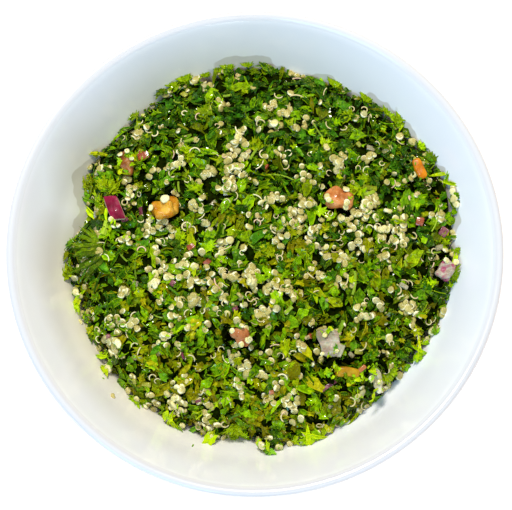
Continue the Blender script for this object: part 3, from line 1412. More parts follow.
# %% Say where the heap is grainy, bright and dark
# bearing in degrees from the heap's middle, and distance as a share of its reach
GRAINY_SPOTS = (
    (104, 0.47), (52, 0.31), (27, 0.64), (22, 0.52), (189, 0.38), (222, 0.30), (302, 0.13), (13, 0.30),
    (306, 0.55), (157, 0.56), (209, 0.76), (10, 0.71), (281, 0.73), (51, 0.71), (81, 0.79), (95, 0.60),
)
BRIGHT_SPOTS = (
    (153, 0.90), (152, 0.33), (208, 0.50), (64, 0.70), (33, 0.17), (356, 0.50), (340, 0.48), (17, 0.80),
    (355, 0.75), (232, 0.47), (84, 0.27), (218, 0.79), (257, 0.82), (258, 0.62), (215, 0.92), (235, 0.92),
    (268, 0.92), (285, 0.90),
)
LEAFY_SPOTS = (
    (155, 0.88), (90, 0.90), (60, 0.90), (120, 0.92), (180, 0.90), (330, 0.85), (345, 0.60), (145, 0.70),
    (40, 0.90), (75, 0.92), (105, 0.92), (192, 0.80), (318, 0.62), (255, 0.62), (178, 0.66),
)
DARK_SPOTS = (
    (90, 0.88), (124, 0.92), (112, 0.84), (145, 0.69), (62, 0.89), (50, 0.85), (52, 0.57), (192, 0.79),
    (202, 0.83), (247, 0.67), (304, 0.75), (324, 0.79), (335, 0.38), (181, 0.90), (82, 0.45),
)
SPOT_REACH = 0.10  # as a share of the heap's reach
CROWN_FORWARD = 5.3  # mm
FORWARD_FALL = 3.0  # mm less of it at the border
LEFTWARDS = 1 * MM
TUFT_SIZE = 7 * MM


def spot_place(bearing, share):
    """World x and y of a spot; the camera sees the high crown too far back, so it is set forward."""
    around = math.radians(bearing)
    reach = HEAP_REACH * share
    forward = (CROWN_FORWARD - FORWARD_FALL * share * share) * MM
    x = HEAP_MIDDLE.x + reach * math.cos(around) - LEFTWARDS
    return x, HEAP_MIDDLE.y + reach * math.sin(around) - forward


def nearness(x, y, spots):
    """1 at the middle of one of the spots, and fading to 0 away from them all."""
    nearest = min(math.hypot(x - sx, y - sy) for sx, sy in (spot_place(*spot) for spot in spots))
    return math.exp(-((nearest / (SPOT_REACH * HEAP_REACH)) ** 2))


def edge_tone(x, y):
    """Brighter towards the front edge and darker towards the back edge of the heap."""
    out = Vector((x - HEAP_MIDDLE.x, y - HEAP_MIDDLE.y)) / HEAP_REACH
    front_left = max(0, -0.6 * out.x - 0.8 * out.y)
    return 0.12 - 0.60 * out.y * out.length_squared + 0.25 * front_left


print("spots:", len(GRAINY_SPOTS + BRIGHT_SPOTS + LEAFY_SPOTS + DARK_SPOTS))


# %% Say how each kind is dropped
def drop_leaves(count, tone_middle, tilt, above, sorts, size_middle=0.0):
    """Drops chips of leaf; sorts has rows of (kind, prototypes, share), size_middle is a logarithm."""
    shares = np.cumsum([share for _, _, share in sorts])
    for _ in range(count):
        kind, prototypes, _ = sorts[int(np.searchsorted(shares, pile.draw.uniform() * shares[-1]))]
        x, y = pile.pick_place()
        region = 0.30 * nearness(x, y, BRIGHT_SPOTS) - 0.28 * nearness(x, y, DARK_SPOTS) + edge_tone(x, y)
        region += 0.55 * noise.noise(Vector((x, y, 0)) / TUFT_SIZE)
        tone = clipped(pile.draw.normal(tone_middle + region, 0.62))
        size = clipped(pile.draw.lognormal(size_middle, 0.28), 0.55, 1.9)
        hue = clipped(pile.draw.uniform() - 0.28 * (y - HEAP_MIDDLE.y) / HEAP_REACH)
        pile.drop(kind, prototypes, x, y, tilt, size, 0.3, above, tone, hue)


def grainy(x, y):
    """From 0 to 1, how rich in grain the heap is at a place."""
    cloud = noise.noise(Vector((x, y, 0)) / (17 * MM) + Vector((3.1, 0.7, 0)))
    leafy = max(nearness(x, y, DARK_SPOTS), nearness(x, y, LEAFY_SPOTS))
    rich = 0.35 + 0.7 * cloud + 0.6 * nearness(x, y, GRAINY_SPOTS) - 0.6 * leafy + 0.3 * edge_tone(x, y)
    return min(1, max(0, rich))


def drop_clumps(count, above, spots=None):
    """Drops clumps of one to fourteen grains that stick together on a lump of mash."""
    for k in range(count):
        x, y = pile.pick_place(tries=3)
        if spots:
            x, y = spot_place(*spots[k % len(spots)]) + pile.draw.normal(0, 3.0 * MM, 2)
        elif pile.draw.uniform() > 0.2 + 0.8 * grainy(x, y):
            continue
        tone = pile.draw.normal(0.48, 0.27) + 0.5 * edge_tone(x, y)
        hue = pile.draw.uniform(0.1, 0.92)
        number = int(np.clip(pile.draw.gamma(1.5, 3.2), 1, 14))
        spread = (0.7 + 0.42 * math.sqrt(number)) * MM
        if number > 4:
            pile.drop("sticky_mash", lumps, x, y, 15, 0.6 + 0.04 * number, 0.4, above, tone, hue)
        for _ in range(number):
            gx, gy = x + pile.draw.normal(0, spread), y + pile.draw.normal(0, spread)
            size = clipped(pile.draw.normal(1.0, 0.13), 0.65, 1.3)
            own_tone = clipped(tone + pile.draw.normal(0, 0.14))
            own_hue = clipped(hue + pile.draw.normal(0, 0.10))
            pile.drop("quinoa_grains", grains, gx, gy, 28, size, 0.35, above, own_tone, own_hue)


def drop_few(kind, prototypes, count, tilt, above, sink=0.2, choosy=0.0):
    """Drops single bits; a choosy kind keeps to the grainy places."""
    for _ in range(count):
        x, y = pile.pick_place(tries=3)
        if pile.draw.uniform() > 1 - choosy * (1 - grainy(x, y)):
            continue
        size = clipped(pile.draw.normal(1, 0.18), 0.5, 1.6)
        pile.drop(kind, prototypes, x, y, tilt, size, sink, above)


# %% Drop the bed, the body and the top
# kind, prototypes, share
BED = [
    ("leaf_bed", chopped_leaves, 0.5),
    ("leaf_bed", tiny_leaves, 0.3),
    ("leaf_bed", curly_leaves, 0.2),
]
BODY = [
    ("leaf_chips", chopped_leaves, 0.45),
    ("leaf_curly", curly_leaves, 0.30),
    ("leaf_tiny", tiny_leaves, 0.25),
]
TOP = [
    ("leaf_chips", chopped_leaves, 0.42),
    ("leaf_curly", curly_leaves, 0.40),
    ("leaf_tiny", tiny_leaves, 0.18),
]

# leaves: how many, middle tone, tilt in degrees, how far out they may stand, sorts, middle size
# clumps: how many, how far out; the other kinds: how many, tilt, how far out
drop_leaves(1400, 0.10, 30, -2.2 * MM, BED)
drop_clumps(120, -1.2 * MM)
drop_leaves(2000, 0.26, 30, -0.6 * MM, BED)
drop_clumps(110, 0.2 * MM)
drop_leaves(2000, 0.52, 30, 0.6 * MM, BODY, 0.12)
drop_few("stalks", stalks, 110, 12, 0.8 * MM)
drop_few("blades", blades, 160, 20, 1.0 * MM)
drop_clumps(110, 1.0 * MM)
drop_few("onion_crumbs", crumbs, 26, 25, 0.7 * MM)
drop_few("tomato_crumbs", crumbs, 12, 25, 0.6 * MM)
drop_few("yellow_crumbs", crumbs, 50, 25, 0.7 * MM)
drop_leaves(1000, 0.72, 28, 1.4 * MM, TOP, 0.28)
drop_clumps(48, 1.4 * MM, GRAINY_SPOTS)
drop_clumps(90, 1.4 * MM)
drop_leaves(1000, 0.88, 30, 2.0 * MM, TOP, 0.24)
drop_few("leaf_curly", [few["small tuft"], few["curly tuft"]], 46, 25, 2.6 * MM, 0.45)
drop_few("quinoa_grains", grains, 330, 40, 1.6 * MM, choosy=0.85)
drop_few("germ_threads", threads, 290, 30, 2.0 * MM, sink=0.3, choosy=0.6)
print("dropped:", {kind: len(bits) for kind, bits in pile.kept.items()})

# %% [markdown]
# ## What was laid by hand
#
# The eye finds a bowl's few large things first: curly tufts at the rim, a frond, pale stalks, big quinoa
# clusters. Those are placed one by one after the random bits, in the same way that a food stylist lays the
# last leaves with tweezers. A row gives the kind and its prototype, the bearing and share of the place, the
# heading, how far the far end lifts, and the size, tone and hue. Before them, bits are leaned on the border
# of each vegetable and let out over the heap's outline, and a few crumbs are left on the wall.

# %% Say how one bit is laid
NEAREST = 0.72  # how near a vegetable's middle a bit may lean on it, as a share of its half side
FURTHEST = 1.05
NO_CEILING = 2.0  # metres, so that a bit laid by hand is always kept


def put_at(x, y, kind, prototypes, heading, lift, size, tone, hue, sink=0.45):
    """Lays one bit on whatever is there, with its +X end towards heading, in degrees."""
    settle = UP.rotation_difference(slope_normal(x, y)).to_matrix()
    spin = Matrix.Rotation(math.radians(heading), 3, "Z") @ Matrix.Rotation(math.radians(-lift), 3, "Y")
    turn = np.array(settle @ spin)
    return pile.drop(kind, prototypes, x, y, 0, size, sink, NO_CEILING, tone, hue, turn)


def put(kind, prototypes, bearing, share, *rest):
    """Lays one bit at a bearing and share of the heap."""
    if not put_at(*spot_place(bearing, share), kind, prototypes, *rest):
        print("  no room for", kind, "at", bearing, share)


def lay_round_dice(node, count, leafy, furthest=FURTHEST):
    """Leans bits on the border of a vegetable, so that it looks dropped in and not set on top."""
    low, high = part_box(node)
    middle, half = (low + high) / 2, (high - low) / 2
    for _ in range(count):
        around = pile.draw.uniform(0, 2 * math.pi)
        reach = pile.draw.uniform(NEAREST + furthest - FURTHEST, furthest)
        x = middle.x + half.x * reach * math.cos(around)
        y = middle.y + half.y * reach * math.sin(around)
        heading, lift = pile.draw.uniform(0, 360), pile.draw.uniform(0, 25)
        size, tone = pile.draw.uniform(0.7, 1.1), pile.draw.uniform(0.2, 0.7)
        if pile.draw.uniform() < leafy:
            curly = pile.draw.uniform() < 0.5
            kind, shapes = ("leaf_curly", curly_leaves) if curly else ("leaf_chips", tiny_leaves)
        else:
            kind, shapes = "quinoa_grains", grains
        put_at(x, y, kind, shapes, heading, lift, size, tone, pile.draw.uniform(0.1, 0.9), 0.3)


# %% Say how the outline and the clusters are laid
OUTLINE_LEAVES = [
    ("leaf_curly", curly_leaves),
    ("leaf_chips", chopped_leaves),
    ("leaf_tiny", tiny_leaves),
    ("leaf_chips", [few["small tuft"]]),
    ("blades", blades),
]


def lay_outline(count, leafy):
    """Lets bits hang out over the heap's outline, a little on the wall."""
    rim = np.argwhere(in_heap & grown(~in_heap, 2))
    for _ in range(count):
        i, j = rim[pile.draw.integers(len(rim))]
        x, y = centres[i], centres[j]
        outwards = math.degrees(math.atan2(y - HEAP_MIDDLE.y, x - HEAP_MIDDLE.x))
        heading = outwards + pile.draw.normal(0, 40)
        size = pile.draw.uniform(0.7, 1.35)
        tone = clipped(pile.draw.normal(0.3, 0.3) + edge_tone(x, y), 0, 0.8)
        lift = pile.draw.uniform(-5, 20)
        if pile.draw.uniform() < leafy:
            kind, shapes = OUTLINE_LEAVES[int(pile.draw.integers(len(OUTLINE_LEAVES)))]
        else:
            kind, shapes = "quinoa_grains", grains
        put_at(x, y, kind, shapes, heading, lift, size, tone, pile.draw.uniform(0.1, 0.9), 0.4)


def lay_cluster(bearing, share, number, spread):
    """Lays grains of one tone close together, with a few tiny leaves among them."""
    x, y = spot_place(bearing, share)
    tone, hue = pile.draw.uniform(0.35, 0.75), pile.draw.uniform(0.3, 0.88)
    for _ in range(number - 2):
        gx, gy = (x, y) + pile.draw.normal(0, 0.8 * spread * MM, 2)
        own_tone, own_hue = tone + pile.draw.normal(0, 0.12), hue + pile.draw.normal(0, 0.08)
        size, heading, lift = [pile.draw.uniform(*ends) for ends in ((0.8, 1.15), (0, 360), (0, 40))]
        put_at(gx, gy, "quinoa_grains", grains, heading, lift, size, own_tone, own_hue, 0.35)
    for _ in range(number // 2):
        gx, gy = (x, y) + pile.draw.normal(0, 1.1 * spread * MM, 2)
        size, heading, lift, tone = [
            pile.draw.uniform(*ends) for ends in ((0.6, 1.0), (0, 360), (0, 30), (0.3, 1.0))
        ]
        put_at(gx, gy, "leaf_tiny", tiny_leaves, heading, lift, size, tone, 0.5, 0.35)


print("kinds on the outline:", len(OUTLINE_LEAVES))

# %% List the borders, clusters and threads
# vegetable, bits that lean on its border, share of leaves among them
BORDERS = (
    ("amber_tomato", 5, 0.6), ("pink_tomato", 9, 0.45), ("tomato_scrap", 16, 0.35),
    ("onion_chunk", 6, 0.7), ("onion_petal", 0, 0.3), ("onion_slice", 12, 0.7), ("onion_strip", 8, 0.5),
    ("pepper_strip", 3, 0.5), ("pepper_slice", 4, 0.9), ("tomato_skin", 14, 0.75),
)
# bearing, share, number of grains, spread in mm
LAID_CLUSTERS = (
    (25, 0.63, 16, 3.4), (16, 0.52, 10, 3.0), (9, 0.73, 9, 2.8), (24, 0.30, 8, 2.6),
    (167, 0.76, 6, 1.2), (164, 0.57, 8, 2.2), (112, 0.42, 8, 2.4), (104, 0.48, 9, 2.6),
    (189, 0.36, 14, 3.6), (196, 0.30, 10, 3.0), (205, 0.78, 10, 2.8), (222, 0.62, 10, 2.6),
    (215, 0.50, 8, 2.4), (240, 0.80, 10, 2.8), (262, 0.66, 8, 2.4), (152, 0.74, 8, 2.6),
    (130, 0.64, 9, 2.8), (302, 0.20, 8, 2.6), (281, 0.72, 9, 2.6), (314, 0.90, 5, 1.6),
    (50, 0.30, 9, 2.6), (60, 0.52, 8, 2.6), (80, 0.56, 7, 2.4), (345, 0.30, 8, 2.6),
    (330, 0.60, 6, 2.2), (182, 0.90, 7, 2.0), (192, 0.93, 6, 1.6), (252, 0.90, 9, 2.6),
    (233, 0.90, 8, 2.4), (172, 0.68, 8, 2.2),
)
# bearing, share, heading, size of a curled thread
LAID_THREADS = (
    (155, 0.41, 20, 1.5), (161, 0.63, 200, 1.2), (203, 0.83, 40, 1.3), (205, 0.70, 80, 1.1),
    (9, 0.63, 10, 1.1), (40, 0.72, 60, 1.2), (88, 0.55, 100, 1.2), (120, 0.66, 10, 1.3),
    (131, 0.55, 200, 1.1), (217, 0.45, 30, 1.2),
)
print("clusters:", len(LAID_CLUSTERS), "threads:", len(LAID_THREADS))

# %% List the single bits
# kind, prototype, bearing, share, heading, lift, size, tone, hue
LAID_BITS = (
    # crumbs left on the wall
    ("leaf_chips", "chopped", 108, 1.02, 60, 0, 0.9, 0.45, 0.85),
    ("leaf_tiny", "tiny", 143, 1.00, 40, 0, 0.9, 0.30, 0.30),
    ("leaf_tiny", "tiny", 98, 1.04, 80, 0, 0.7, 0.20, 0.40),
    ("leaf_tiny", "tiny", 71, 1.02, 10, 0, 0.9, 0.30, 0.30),
    ("leaf_tiny", "tiny", 60, 1.01, 120, 0, 0.9, 0.30, 0.50),
    ("leaf_chips", "chopped", 51, 0.99, 150, 0, 0.8, 0.25, 0.30),
    ("leaf_tiny", "tiny", 47, 1.02, 30, 0, 1.0, 0.30, 0.40),
    ("quinoa_grains", "grain", 199, 0.97, 0, 0, 0.8, 0.40, 0.50),
    ("quinoa_grains", "grain", 224, 1.02, 50, 0, 0.9, 0.35, 0.95),
    ("leaf_tiny", "tiny", 218, 1.00, 50, 0, 0.6, 0.40, 0.50),
    ("leaf_tiny", "tiny", 251, 1.01, 70, 0, 0.8, 0.45, 0.50),
    # crumbs, slivers and a grain
    ("red_onion_crumbs", "sliver", 159, 0.64, 100, 5, 0.9, 0.75, 0.5),
    ("red_onion_crumbs", "crumb", 164, 0.71, 20, 5, 1.0, 0.55, 0.5),
    ("red_onion_crumbs", "sliver", 298, 0.74, 35, 8, 0.9, 0.60, 0.5),
    ("tomato_crumbs", "crumb", 13, 0.85, 80, 8, 1.5, 0.00, 0.5),
    ("red_onion_crumbs", "crumb", 8, 0.96, 60, 5, 1.6, 0.90, 0.5),
    ("red_onion_crumbs", "sliver", 248, 0.78, 20, 5, 0.8, 0.15, 0.5),
    ("red_onion_crumbs", "crumb", 245, 0.28, 20, 5, 0.9, 0.70, 0.5),
    ("red_onion_crumbs", "crumb", 208, 0.86, 60, 5, 1.1, 0.75, 0.5),
    ("red_onion_crumbs", "crumb", 196, 0.45, 60, 5, 1.0, 0.65, 0.5),
    ("red_onion_crumbs", "sliver", 232, 0.62, 110, 5, 0.8, 0.45, 0.5),
    ("red_onion_crumbs", "crumb", 178, 0.86, 60, 5, 1.3, 0.80, 0.5),
    ("onion_crumbs", "sliver", 254, 0.52, 100, 8, 0.9, 0.60, 0.5),
    ("onion_crumbs", "crumb", 170, 0.86, 20, 8, 1.3, 0.30, 0.5),
    ("onion_crumbs", "crumb", 164, 0.88, 70, 8, 1.1, 0.35, 0.5),
    ("onion_crumbs", "crumb", 310, 0.62, 70, 8, 1.5, 0.70, 0.5),
    ("quinoa_grains", "grain", 148, 0.56, 60, 10, 1.4, 1.00, 0.5),
    ("tomato_crumbs", "crumb", 138, 0.80, 20, 5, 1.3, 0.40, 0.5),
    ("tomato_crumbs", "crumb", 312, 0.77, 40, 5, 1.2, 0.35, 0.5),
    ("tomato_crumbs", "crumb", 182, 0.26, 40, 5, 0.9, 0.60, 0.5),
    ("yellow_crumbs", "crumb", 33, 0.95, 40, 15, 1.3, 0.90, 0.5),
    # leaves
    ("leaf_curly", "curly tuft", 157, 0.94, 82, 8, 1.35, 0.90, 0.82),
    ("leaf_curly", "curly tuft", 156, 0.85, 72, 8, 1.25, 1.0, 0.75),
    ("leaf_curly", "small tuft", 160, 0.87, 25, 12, 1.3, 1.0, 0.65),
    ("leaf_chips", "broad", 139, 0.89, 35, 12, 1.2, 0.35, 0.2),
    ("leaf_chips", "broad", 133, 0.86, 80, 12, 1.0, 0.30, 0.2),
    ("leaf_chips", "flat chip", 159, 0.97, 30, 5, 1.0, 0.35, 0.2),
    ("blades", "blade", 163, 0.92, 140, 10, 1.6, 1.0, 0.45),
    ("leaf_chips", "pointed", 172, 0.93, 60, 15, 1.5, 0.40, 0.1),
    ("leaf_chips", "broad", 168, 0.86, 160, 15, 1.2, 0.35, 0.1),
    ("leaf_curly", "fern tuft", 177, 0.76, 205, 4, 1.2, 0.36, 0.10),
    ("leaf_chips", "fern tuft", 175, 0.80, 172, 6, 0.9, 0.75, 0.2),
    ("leaf_curly", "curly tuft", 318, 0.85, -30, 10, 1.0, 0.60, 0.3),
    ("leaf_curly", "sprig", 309, 0.71, 10, 12, 1.1, 0.90, 0.5),
    ("leaf_curly", "sprig", 317, 0.79, -8, 10, 0.9, 0.95, 0.6),
    ("leaf_curly", "lobed tip", 12, 0.88, 50, 12, 1.3, 0.90, 0.4),
    ("leaf_curly", "lobed tip", 11, 0.90, 20, 10, 1.1, 0.95, 0.4),
    ("leaf_curly", "pointed", 359, 0.78, 52, 22, 1.25, 1.0, 0.7),
    ("leaf_curly", "broad", 21, 0.82, 80, 14, 1.3, 0.95, 0.2),
    ("leaf_chips", "sprig", 40, 0.92, -40, 10, 1.2, 0.25, 0.1),
    ("leaf_chips", "sprig", 37, 0.90, -60, 10, 1.0, 0.40, 0.1),
    ("leaf_curly", "pointed", 166, 0.35, 100, 25, 0.9, 1.0, 0.85),
    ("leaf_curly", "comb", 165, 0.27, 20, 18, 1.0, 1.0, 0.4),
    ("leaf_curly", "small tuft", 166, 0.42, 10, 10, 1.2, 0.90, 0.3),
    ("leaf_chips", "flat chip", 162, 0.63, 30, 5, 1.3, 0.35, 0.1),
    ("leaf_chips", "flat chip", 168, 0.63, 15, 8, 1.2, 0.80, 0.3),
    ("leaf_chips", "petal", 287, 0.60, 95, 10, 1.8, 0.25, 0.95),
    ("leaf_curly", "broad", 100, 0.30, 60, 12, 1.0, 0.95, 0.4),
    ("leaf_curly", "small tuft", 60, 0.68, 40, 12, 1.1, 0.90, 0.4),
    ("leaf_curly", "comb", 40, 0.40, -20, 14, 0.9, 0.95, 0.4),
    ("leaf_curly", "sprig", 210, 0.50, 120, 12, 1.0, 0.95, 0.4),
    ("leaf_curly", "comb", 232, 0.47, 60, 16, 0.9, 0.95, 0.5),
    ("leaf_curly", "curly tuft", 262, 0.84, 260, 10, 1.0, 0.75, 0.4),
    ("leaf_curly", "broad", 250, 0.60, 30, 16, 1.0, 0.9, 0.4),
    ("leaf_curly", "sprig", 345, 0.49, 30, 14, 1.2, 0.95, 0.4),
    ("leaf_chips", "comb", 275, 0.92, 280, 8, 1.1, 0.65, 0.3),
    ("leaf_chips", "broad", 255, 0.95, 240, 8, 1.0, 0.70, 0.4),
    ("blades", "needle", 188, 0.82, 250, 6, 1.1, 0.25, 0.1),
    ("blades", "needle", 185, 0.88, 235, 6, 1.0, 0.30, 0.1),
    ("blades", "needle", 66, 0.38, 120, 10, 1.0, 0.9, 0.4),
    ("blades", "blade", 115, 0.62, -12, 6, 1.3, 0.9, 0.4),
    ("blades", "blade", 254, 0.60, 60, 10, 1.0, 0.95, 0.5),
    # stalks
    ("stalks", "tube", 169, 0.80, -15, 25, 1.35, 1.0, 0.7),
    ("stalks", "tube", 33, 0.68, -102, 5, 1.3, 0.95, 0.9),
    ("stalks", "thick stalk", 31, 0.66, -80, 4, 0.7, 0.85, 0.8),
    ("stalks", "thick stalk", 320, 0.54, -30, 12, 0.8, 1.0, 0.2),
    ("stalks", "thin stalk", 12, 0.93, -35, 6, 0.9, 0.9, 0.3),
    ("stalks", "thin stalk", 183, 0.62, 160, 8, 1.0, 0.4, 0.2),
    ("stalks", "thin stalk", 75, 0.45, 60, 10, 0.9, 0.8, 0.3),
    ("stalks", "tube", 300, 0.30, -50, 15, 0.9, 0.9, 0.6),
    ("stalks", "tube", 120, 0.72, -80, 10, 0.9, 0.8, 0.5),
)
print("single bits:", len(LAID_BITS))

# %% Lay the last bits by hand
named = {name: [shape] for name, shape in few.items()}
named.update(grain=grains, crumb=crumbs, sliver=slivers, tiny=tiny_leaves, chopped=chopped_leaves)
for node, count, leafy in BORDERS:
    lay_round_dice(node, 8, 1.0, 1.5)
    lay_round_dice(node, count, leafy)
lay_round_dice("pepper_slice", 24, 1.0, 1.7)  # it lies half buried
lay_outline(280, 0.78)
for row in LAID_CLUSTERS:
    lay_cluster(*row)
for kind, shape, *row in LAID_BITS:
    put(kind, named[shape], *row)
for bearing, share, heading, size in LAID_THREADS:
    put("germ_threads", threads[:5], bearing, share, heading, 8, size, 0.9, 0.5)
for kind, bits in pile.kept.items():
    print(kind, len(bits), "bits", sum(bit[0].triangles for bit in bits), "triangles")
print("left over:", round(float((target_map - pile.heights)[in_heap].mean()) / MM, 2), "mm on average")

# %% [markdown]
# ## From bits to pieces
#
# Each kind becomes one mesh. The bits of one prototype are placed together as an array product, which is
# hundreds of times quicker than joining objects, and each point carries its bit's tone and hue and its own
# nearness to the bit's edge in an attribute called `bit`.


# %% Join each kind into one mesh
def joined_bits(kind, finish, sharp_angle=None):
    """One named piece of all the kept bits of a kind."""
    groups = {}
    for prototype, matrix, place, tone, hue in pile.kept[kind]:
        groups.setdefault(id(prototype), (prototype, []))[1].append((matrix, place, tone, hue))
    points, rows, corners, sizes = [], [], [], []
    count = 0
    for prototype, bits in groups.values():
        matrices, places, tones, hues = map(np.array, zip(*bits))
        placed = np.einsum("nij,pj->npi", matrices, prototype.points) + places[:, None, :]
        own = np.empty_like(placed)
        own[:, :, 0] = tones[:, None]
        own[:, :, 1] = hues[:, None]
        own[:, :, 2] = prototype.edge[None, :]
        starts = count + np.arange(len(bits)) * len(prototype.points)
        corners.append((prototype.corners[None, :] + starts[:, None]).ravel())
        sizes.append(np.tile(prototype.sizes, len(bits)))
        points.append(placed.reshape(-1, 3))
        rows.append(own.reshape(-1, 3))
        count += len(bits) * len(prototype.points)
    points, rows, corners, sizes = map(np.concatenate, (points, rows, corners, sizes))
    mesh = bpy.data.meshes.new(kind)
    mesh.vertices.add(len(points))
    mesh.vertices.foreach_set("co", points.ravel())
    mesh.loops.add(len(corners))
    mesh.loops.foreach_set("vertex_index", corners)
    mesh.polygons.add(len(sizes))
    mesh.polygons.foreach_set("loop_start", np.concatenate(([0], np.cumsum(sizes)[:-1])))
    mesh.update(calc_edges=True)
    mesh.validate()
    carry_bit(mesh, rows)
    mesh.shade_smooth()
    if sharp_angle:
        mesh.set_sharp_from_angle(angle=math.radians(sharp_angle))
    mesh.materials.append(finish)
    made = bpy.data.objects.new(kind, mesh)
    bpy.context.scene.collection.objects.link(made)
    hand_in(made)
    print(kind, len(mesh.polygons), "faces")


# %% [markdown]
# ## Finishes of the bits
#
# Wet leaf is dark where the light misses it and vivid where it doesn't, so the three greens of `bit tone`
# are far apart. By their hue number the youngest leaves take a fresh cool green and the oldest an olive
# yellow. A little subsurface light gives leaf and grain their translucence. The grain's pale ring comes
# from the `edge` number, some grains are glassy and grey, and a few grains and threads are pinkish brown.

# %% Mix the leaf's finish
FRESH_GREENS = (0.002, 0.030, 0.002), (0.035, 0.21, 0.006), (0.24, 0.60, 0.04)
OLIVES = (0.14, 0.115, 0.0005), (0.72, 0.62, 0.006)


def leaf_finish(name, dark, middle, bright, olive_share, roughness=0.22):
    """Wet leaf; olive_share is how many of the bits lean to olive yellow."""
    made, tree = start_material(
        name,
        Specular_IOR_Level=0.30,
        Specular_Tint=(1.0, 1.0, 0.08),
        Coat_Roughness=0.09,
        **translucent(0.08, (0.5, 1.0, 0.15), 0.5),
    )
    place = object_place(tree)
    tone, hue, edge = bit_values(tree)
    shift = between(tree, clouds(tree, place, 520.0, 3.0, 0.7), 0.32, 0.68, -0.25, 0.25)
    uneven = total(tree, tone, shift)
    green = toned(tree, uneven, dark, middle, bright)
    veined = mixed(tree, between(tree, edge, 0.04, 0.20, 0.25, 0.0), green, (0.30, 0.46, 0.01))
    edged = mixed(tree, between(tree, edge, 0.80, 1.0, 0.0, 0.35), veined, bright)
    young = between(tree, hue, 0.12, 0.30, 0.85, 0.0)
    fresher = mixed(tree, young, edged, toned(tree, uneven, *FRESH_GREENS))
    old = between(tree, hue, 1 - 2 * olive_share, 1.0, 0.0, 0.9)
    olive = mixed(tree, between(tree, uneven, 0.1, 1.0), *OLIVES)
    drops = mottled(tree, place, 0.0013, 0.59, 0.63)
    return finished(
        made,
        Base_Color=mixed(tree, old, fresher, olive),
        Coat_Weight=drops,
        Roughness=between(tree, drops, 0, 1, roughness + 0.16, roughness),
        Normal=wet_relief(tree, place, 0.0010, 0.00045),
    )


# %% Mix the finishes of grain, thread and crumb
GRAIN_CREAMS = (0.40, 0.33, 0.08), (0.74, 0.66, 0.26), (0.93, 0.86, 0.48)
GERM_CREAMS = (0.62, 0.52, 0.24), (0.86, 0.78, 0.44), (0.96, 0.91, 0.62)


def grain_finish(name, ring_share):
    """Cooked quinoa; ring_share is how much of the pale ring shows."""
    made, tree = start_material(
        name,
        Specular_IOR_Level=0.3,
        Specular_Tint=(1.0, 0.98, 0.85),
        **translucent(0.3, (1.0, 0.85, 0.35), 1.0),
    )
    place = object_place(tree)
    tone, hue, edge = bit_values(tree)
    cream = toned(tree, tone, *GRAIN_CREAMS)
    greyed = mixed(tree, between(tree, hue, 0.10, 0.20, 0.6, 0.0), cream, (0.40, 0.41, 0.22))
    warmed = mixed(tree, between(tree, hue, 0.93, 1.0, 0.0, 0.7), greyed, (0.46, 0.30, 0.14))
    cloud = mottled(tree, place, 0.0009, 0.38, 0.62)
    shaded = mixed(tree, between(tree, cloud, 0, 1, 0.05, 0.42), warmed, (0.50, 0.44, 0.15))
    ring = between(tree, edge, 0.42, 0.66, 0.0, ring_share)
    return finished(
        made,
        Base_Color=mixed(tree, ring, shaded, (0.97, 0.89, 0.54)),
        Roughness=between(tree, cloud, 0, 1, 0.14, 0.30),
        Normal=wet_relief(tree, place, 0.0007, 0.0003),
    )


def thread_finish():
    """The pale germ, here and there pink."""
    glow = translucent(0.2, (1.0, 0.85, 0.5), 0.6)
    made, tree = start_material("quinoa_germ", Roughness=0.32, Specular_IOR_Level=0.3, **glow)
    tone, hue, _ = bit_values(tree)
    cream = toned(tree, tone, *GERM_CREAMS)
    blush = mixed(tree, between(tree, hue, 0.90, 0.95, 0.0, 0.6), cream, (0.80, 0.42, 0.34))
    patch = between(tree, mottled(tree, object_place(tree), 0.001, 0.4, 0.65), 0, 1, 0, 0.25)
    return finished(made, Base_Color=mixed(tree, patch, blush, (0.62, 0.50, 0.25)))


def crumb_finish(name, translucence, *tones):
    """Wet crumbs of vegetable in three tones."""
    glow = translucent(translucence, (1.0, 0.7, 0.5), 1.2)
    made, tree = start_material(name, Coat_Weight=0.5, **glow)
    place = object_place(tree)
    cloud = clouds(tree, place, 700.0, 2.0)
    uneven = total(tree, bit_values(tree)[0], between(tree, cloud, 0.3, 0.7, -0.2, 0.2))
    return finished(
        made,
        Base_Color=toned(tree, uneven, *tones),
        Roughness=between(tree, cloud, 0.3, 0.7, 0.16, 0.34),
        Normal=wet_relief(tree, place, 0.0009, 0.0002),
    )


# %% Make the pieces
SHARP_ANGLE = 40
# name, dark, middle and bright tone, share of olive, roughness
LEAF_FINISHES = {
    "leaf_in_the_bed": ((0.002, 0.012, 0.0002), (0.014, 0.055, 0.0003), (0.09, 0.20, 0.0008), 0.04),
    "chopped_parsley": ((0.005, 0.048, 0.0002), (0.21, 0.42, 0.0003), (0.52, 0.72, 0.003), 0.18),
    "curly_parsley": ((0.016, 0.095, 0.0002), (0.32, 0.54, 0.0003), (0.64, 0.78, 0.004), 0.22),
    "cut_stalks": ((0.08, 0.18, 0.001), (0.24, 0.40, 0.006), (0.46, 0.58, 0.06), 0.12, 0.18),
}
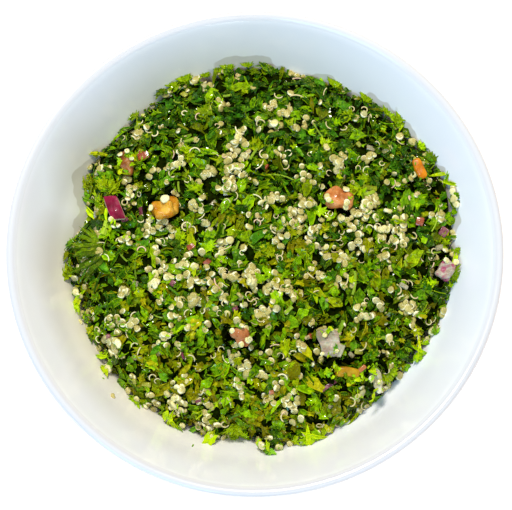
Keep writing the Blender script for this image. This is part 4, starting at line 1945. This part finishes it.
# name, translucence, dark, middle and bright tone
CRUMB_FINISHES = {
    "onion_crumb": (0.5, (0.28, 0.25, 0.12), (0.42, 0.38, 0.22), (0.56, 0.52, 0.36)),
    "red_onion_crumb": (0.4, (0.13, 0.012, 0.03), (0.34, 0.14, 0.13), (0.60, 0.42, 0.34)),
    "tomato_crumb": (0.35, (0.28, 0.05, 0.008), (0.46, 0.15, 0.03), (0.66, 0.34, 0.12)),
    "yellow_crumb": (0.35, (0.30, 0.30, 0.02), (0.46, 0.46, 0.04), (0.62, 0.60, 0.16)),
}
finishes = {name: leaf_finish(name, *values) for name, values in LEAF_FINISHES.items()}
finishes.update((name, crumb_finish(name, *values)) for name, values in CRUMB_FINISHES.items())
for name, ring_share in (("cooked_quinoa", 0.9), ("quinoa_mash", 0.0)):
    finishes[name] = grain_finish(name, ring_share)
finishes["quinoa_germ"] = thread_finish()
# kind, finish, slot, angle beyond which an edge stays sharp
PIECES = (
    ("leaf_bed", "leaf_in_the_bed", "herbs_and_quinoa", SHARP_ANGLE),
    ("leaf_chips", "chopped_parsley", "herbs_and_quinoa", SHARP_ANGLE),
    ("leaf_tiny", "chopped_parsley", "herbs_and_quinoa", SHARP_ANGLE),
    ("leaf_curly", "curly_parsley", "herbs_and_quinoa", SHARP_ANGLE),
    ("stalks", "cut_stalks", "herbs_and_quinoa", SHARP_ANGLE),
    ("blades", "curly_parsley", "herbs_and_quinoa", SHARP_ANGLE),
    ("quinoa_grains", "cooked_quinoa", "herbs_and_quinoa", None),
    ("sticky_mash", "quinoa_mash", "herbs_and_quinoa", None),
    ("germ_threads", "quinoa_germ", "herbs_and_quinoa", None),
    ("onion_crumbs", "onion_crumb", "onion_flesh", SHARP_ANGLE),
    ("red_onion_crumbs", "red_onion_crumb", "red_onion_skin", SHARP_ANGLE),
    ("tomato_crumbs", "tomato_crumb", "pink_tomato_flesh", SHARP_ANGLE),
    ("yellow_crumbs", "yellow_crumb", "herbs_and_quinoa", SHARP_ANGLE),
)
for kind, finish, slot, sharp_angle in PIECES:
    joined_bits(kind, finishes[finish], sharp_angle)
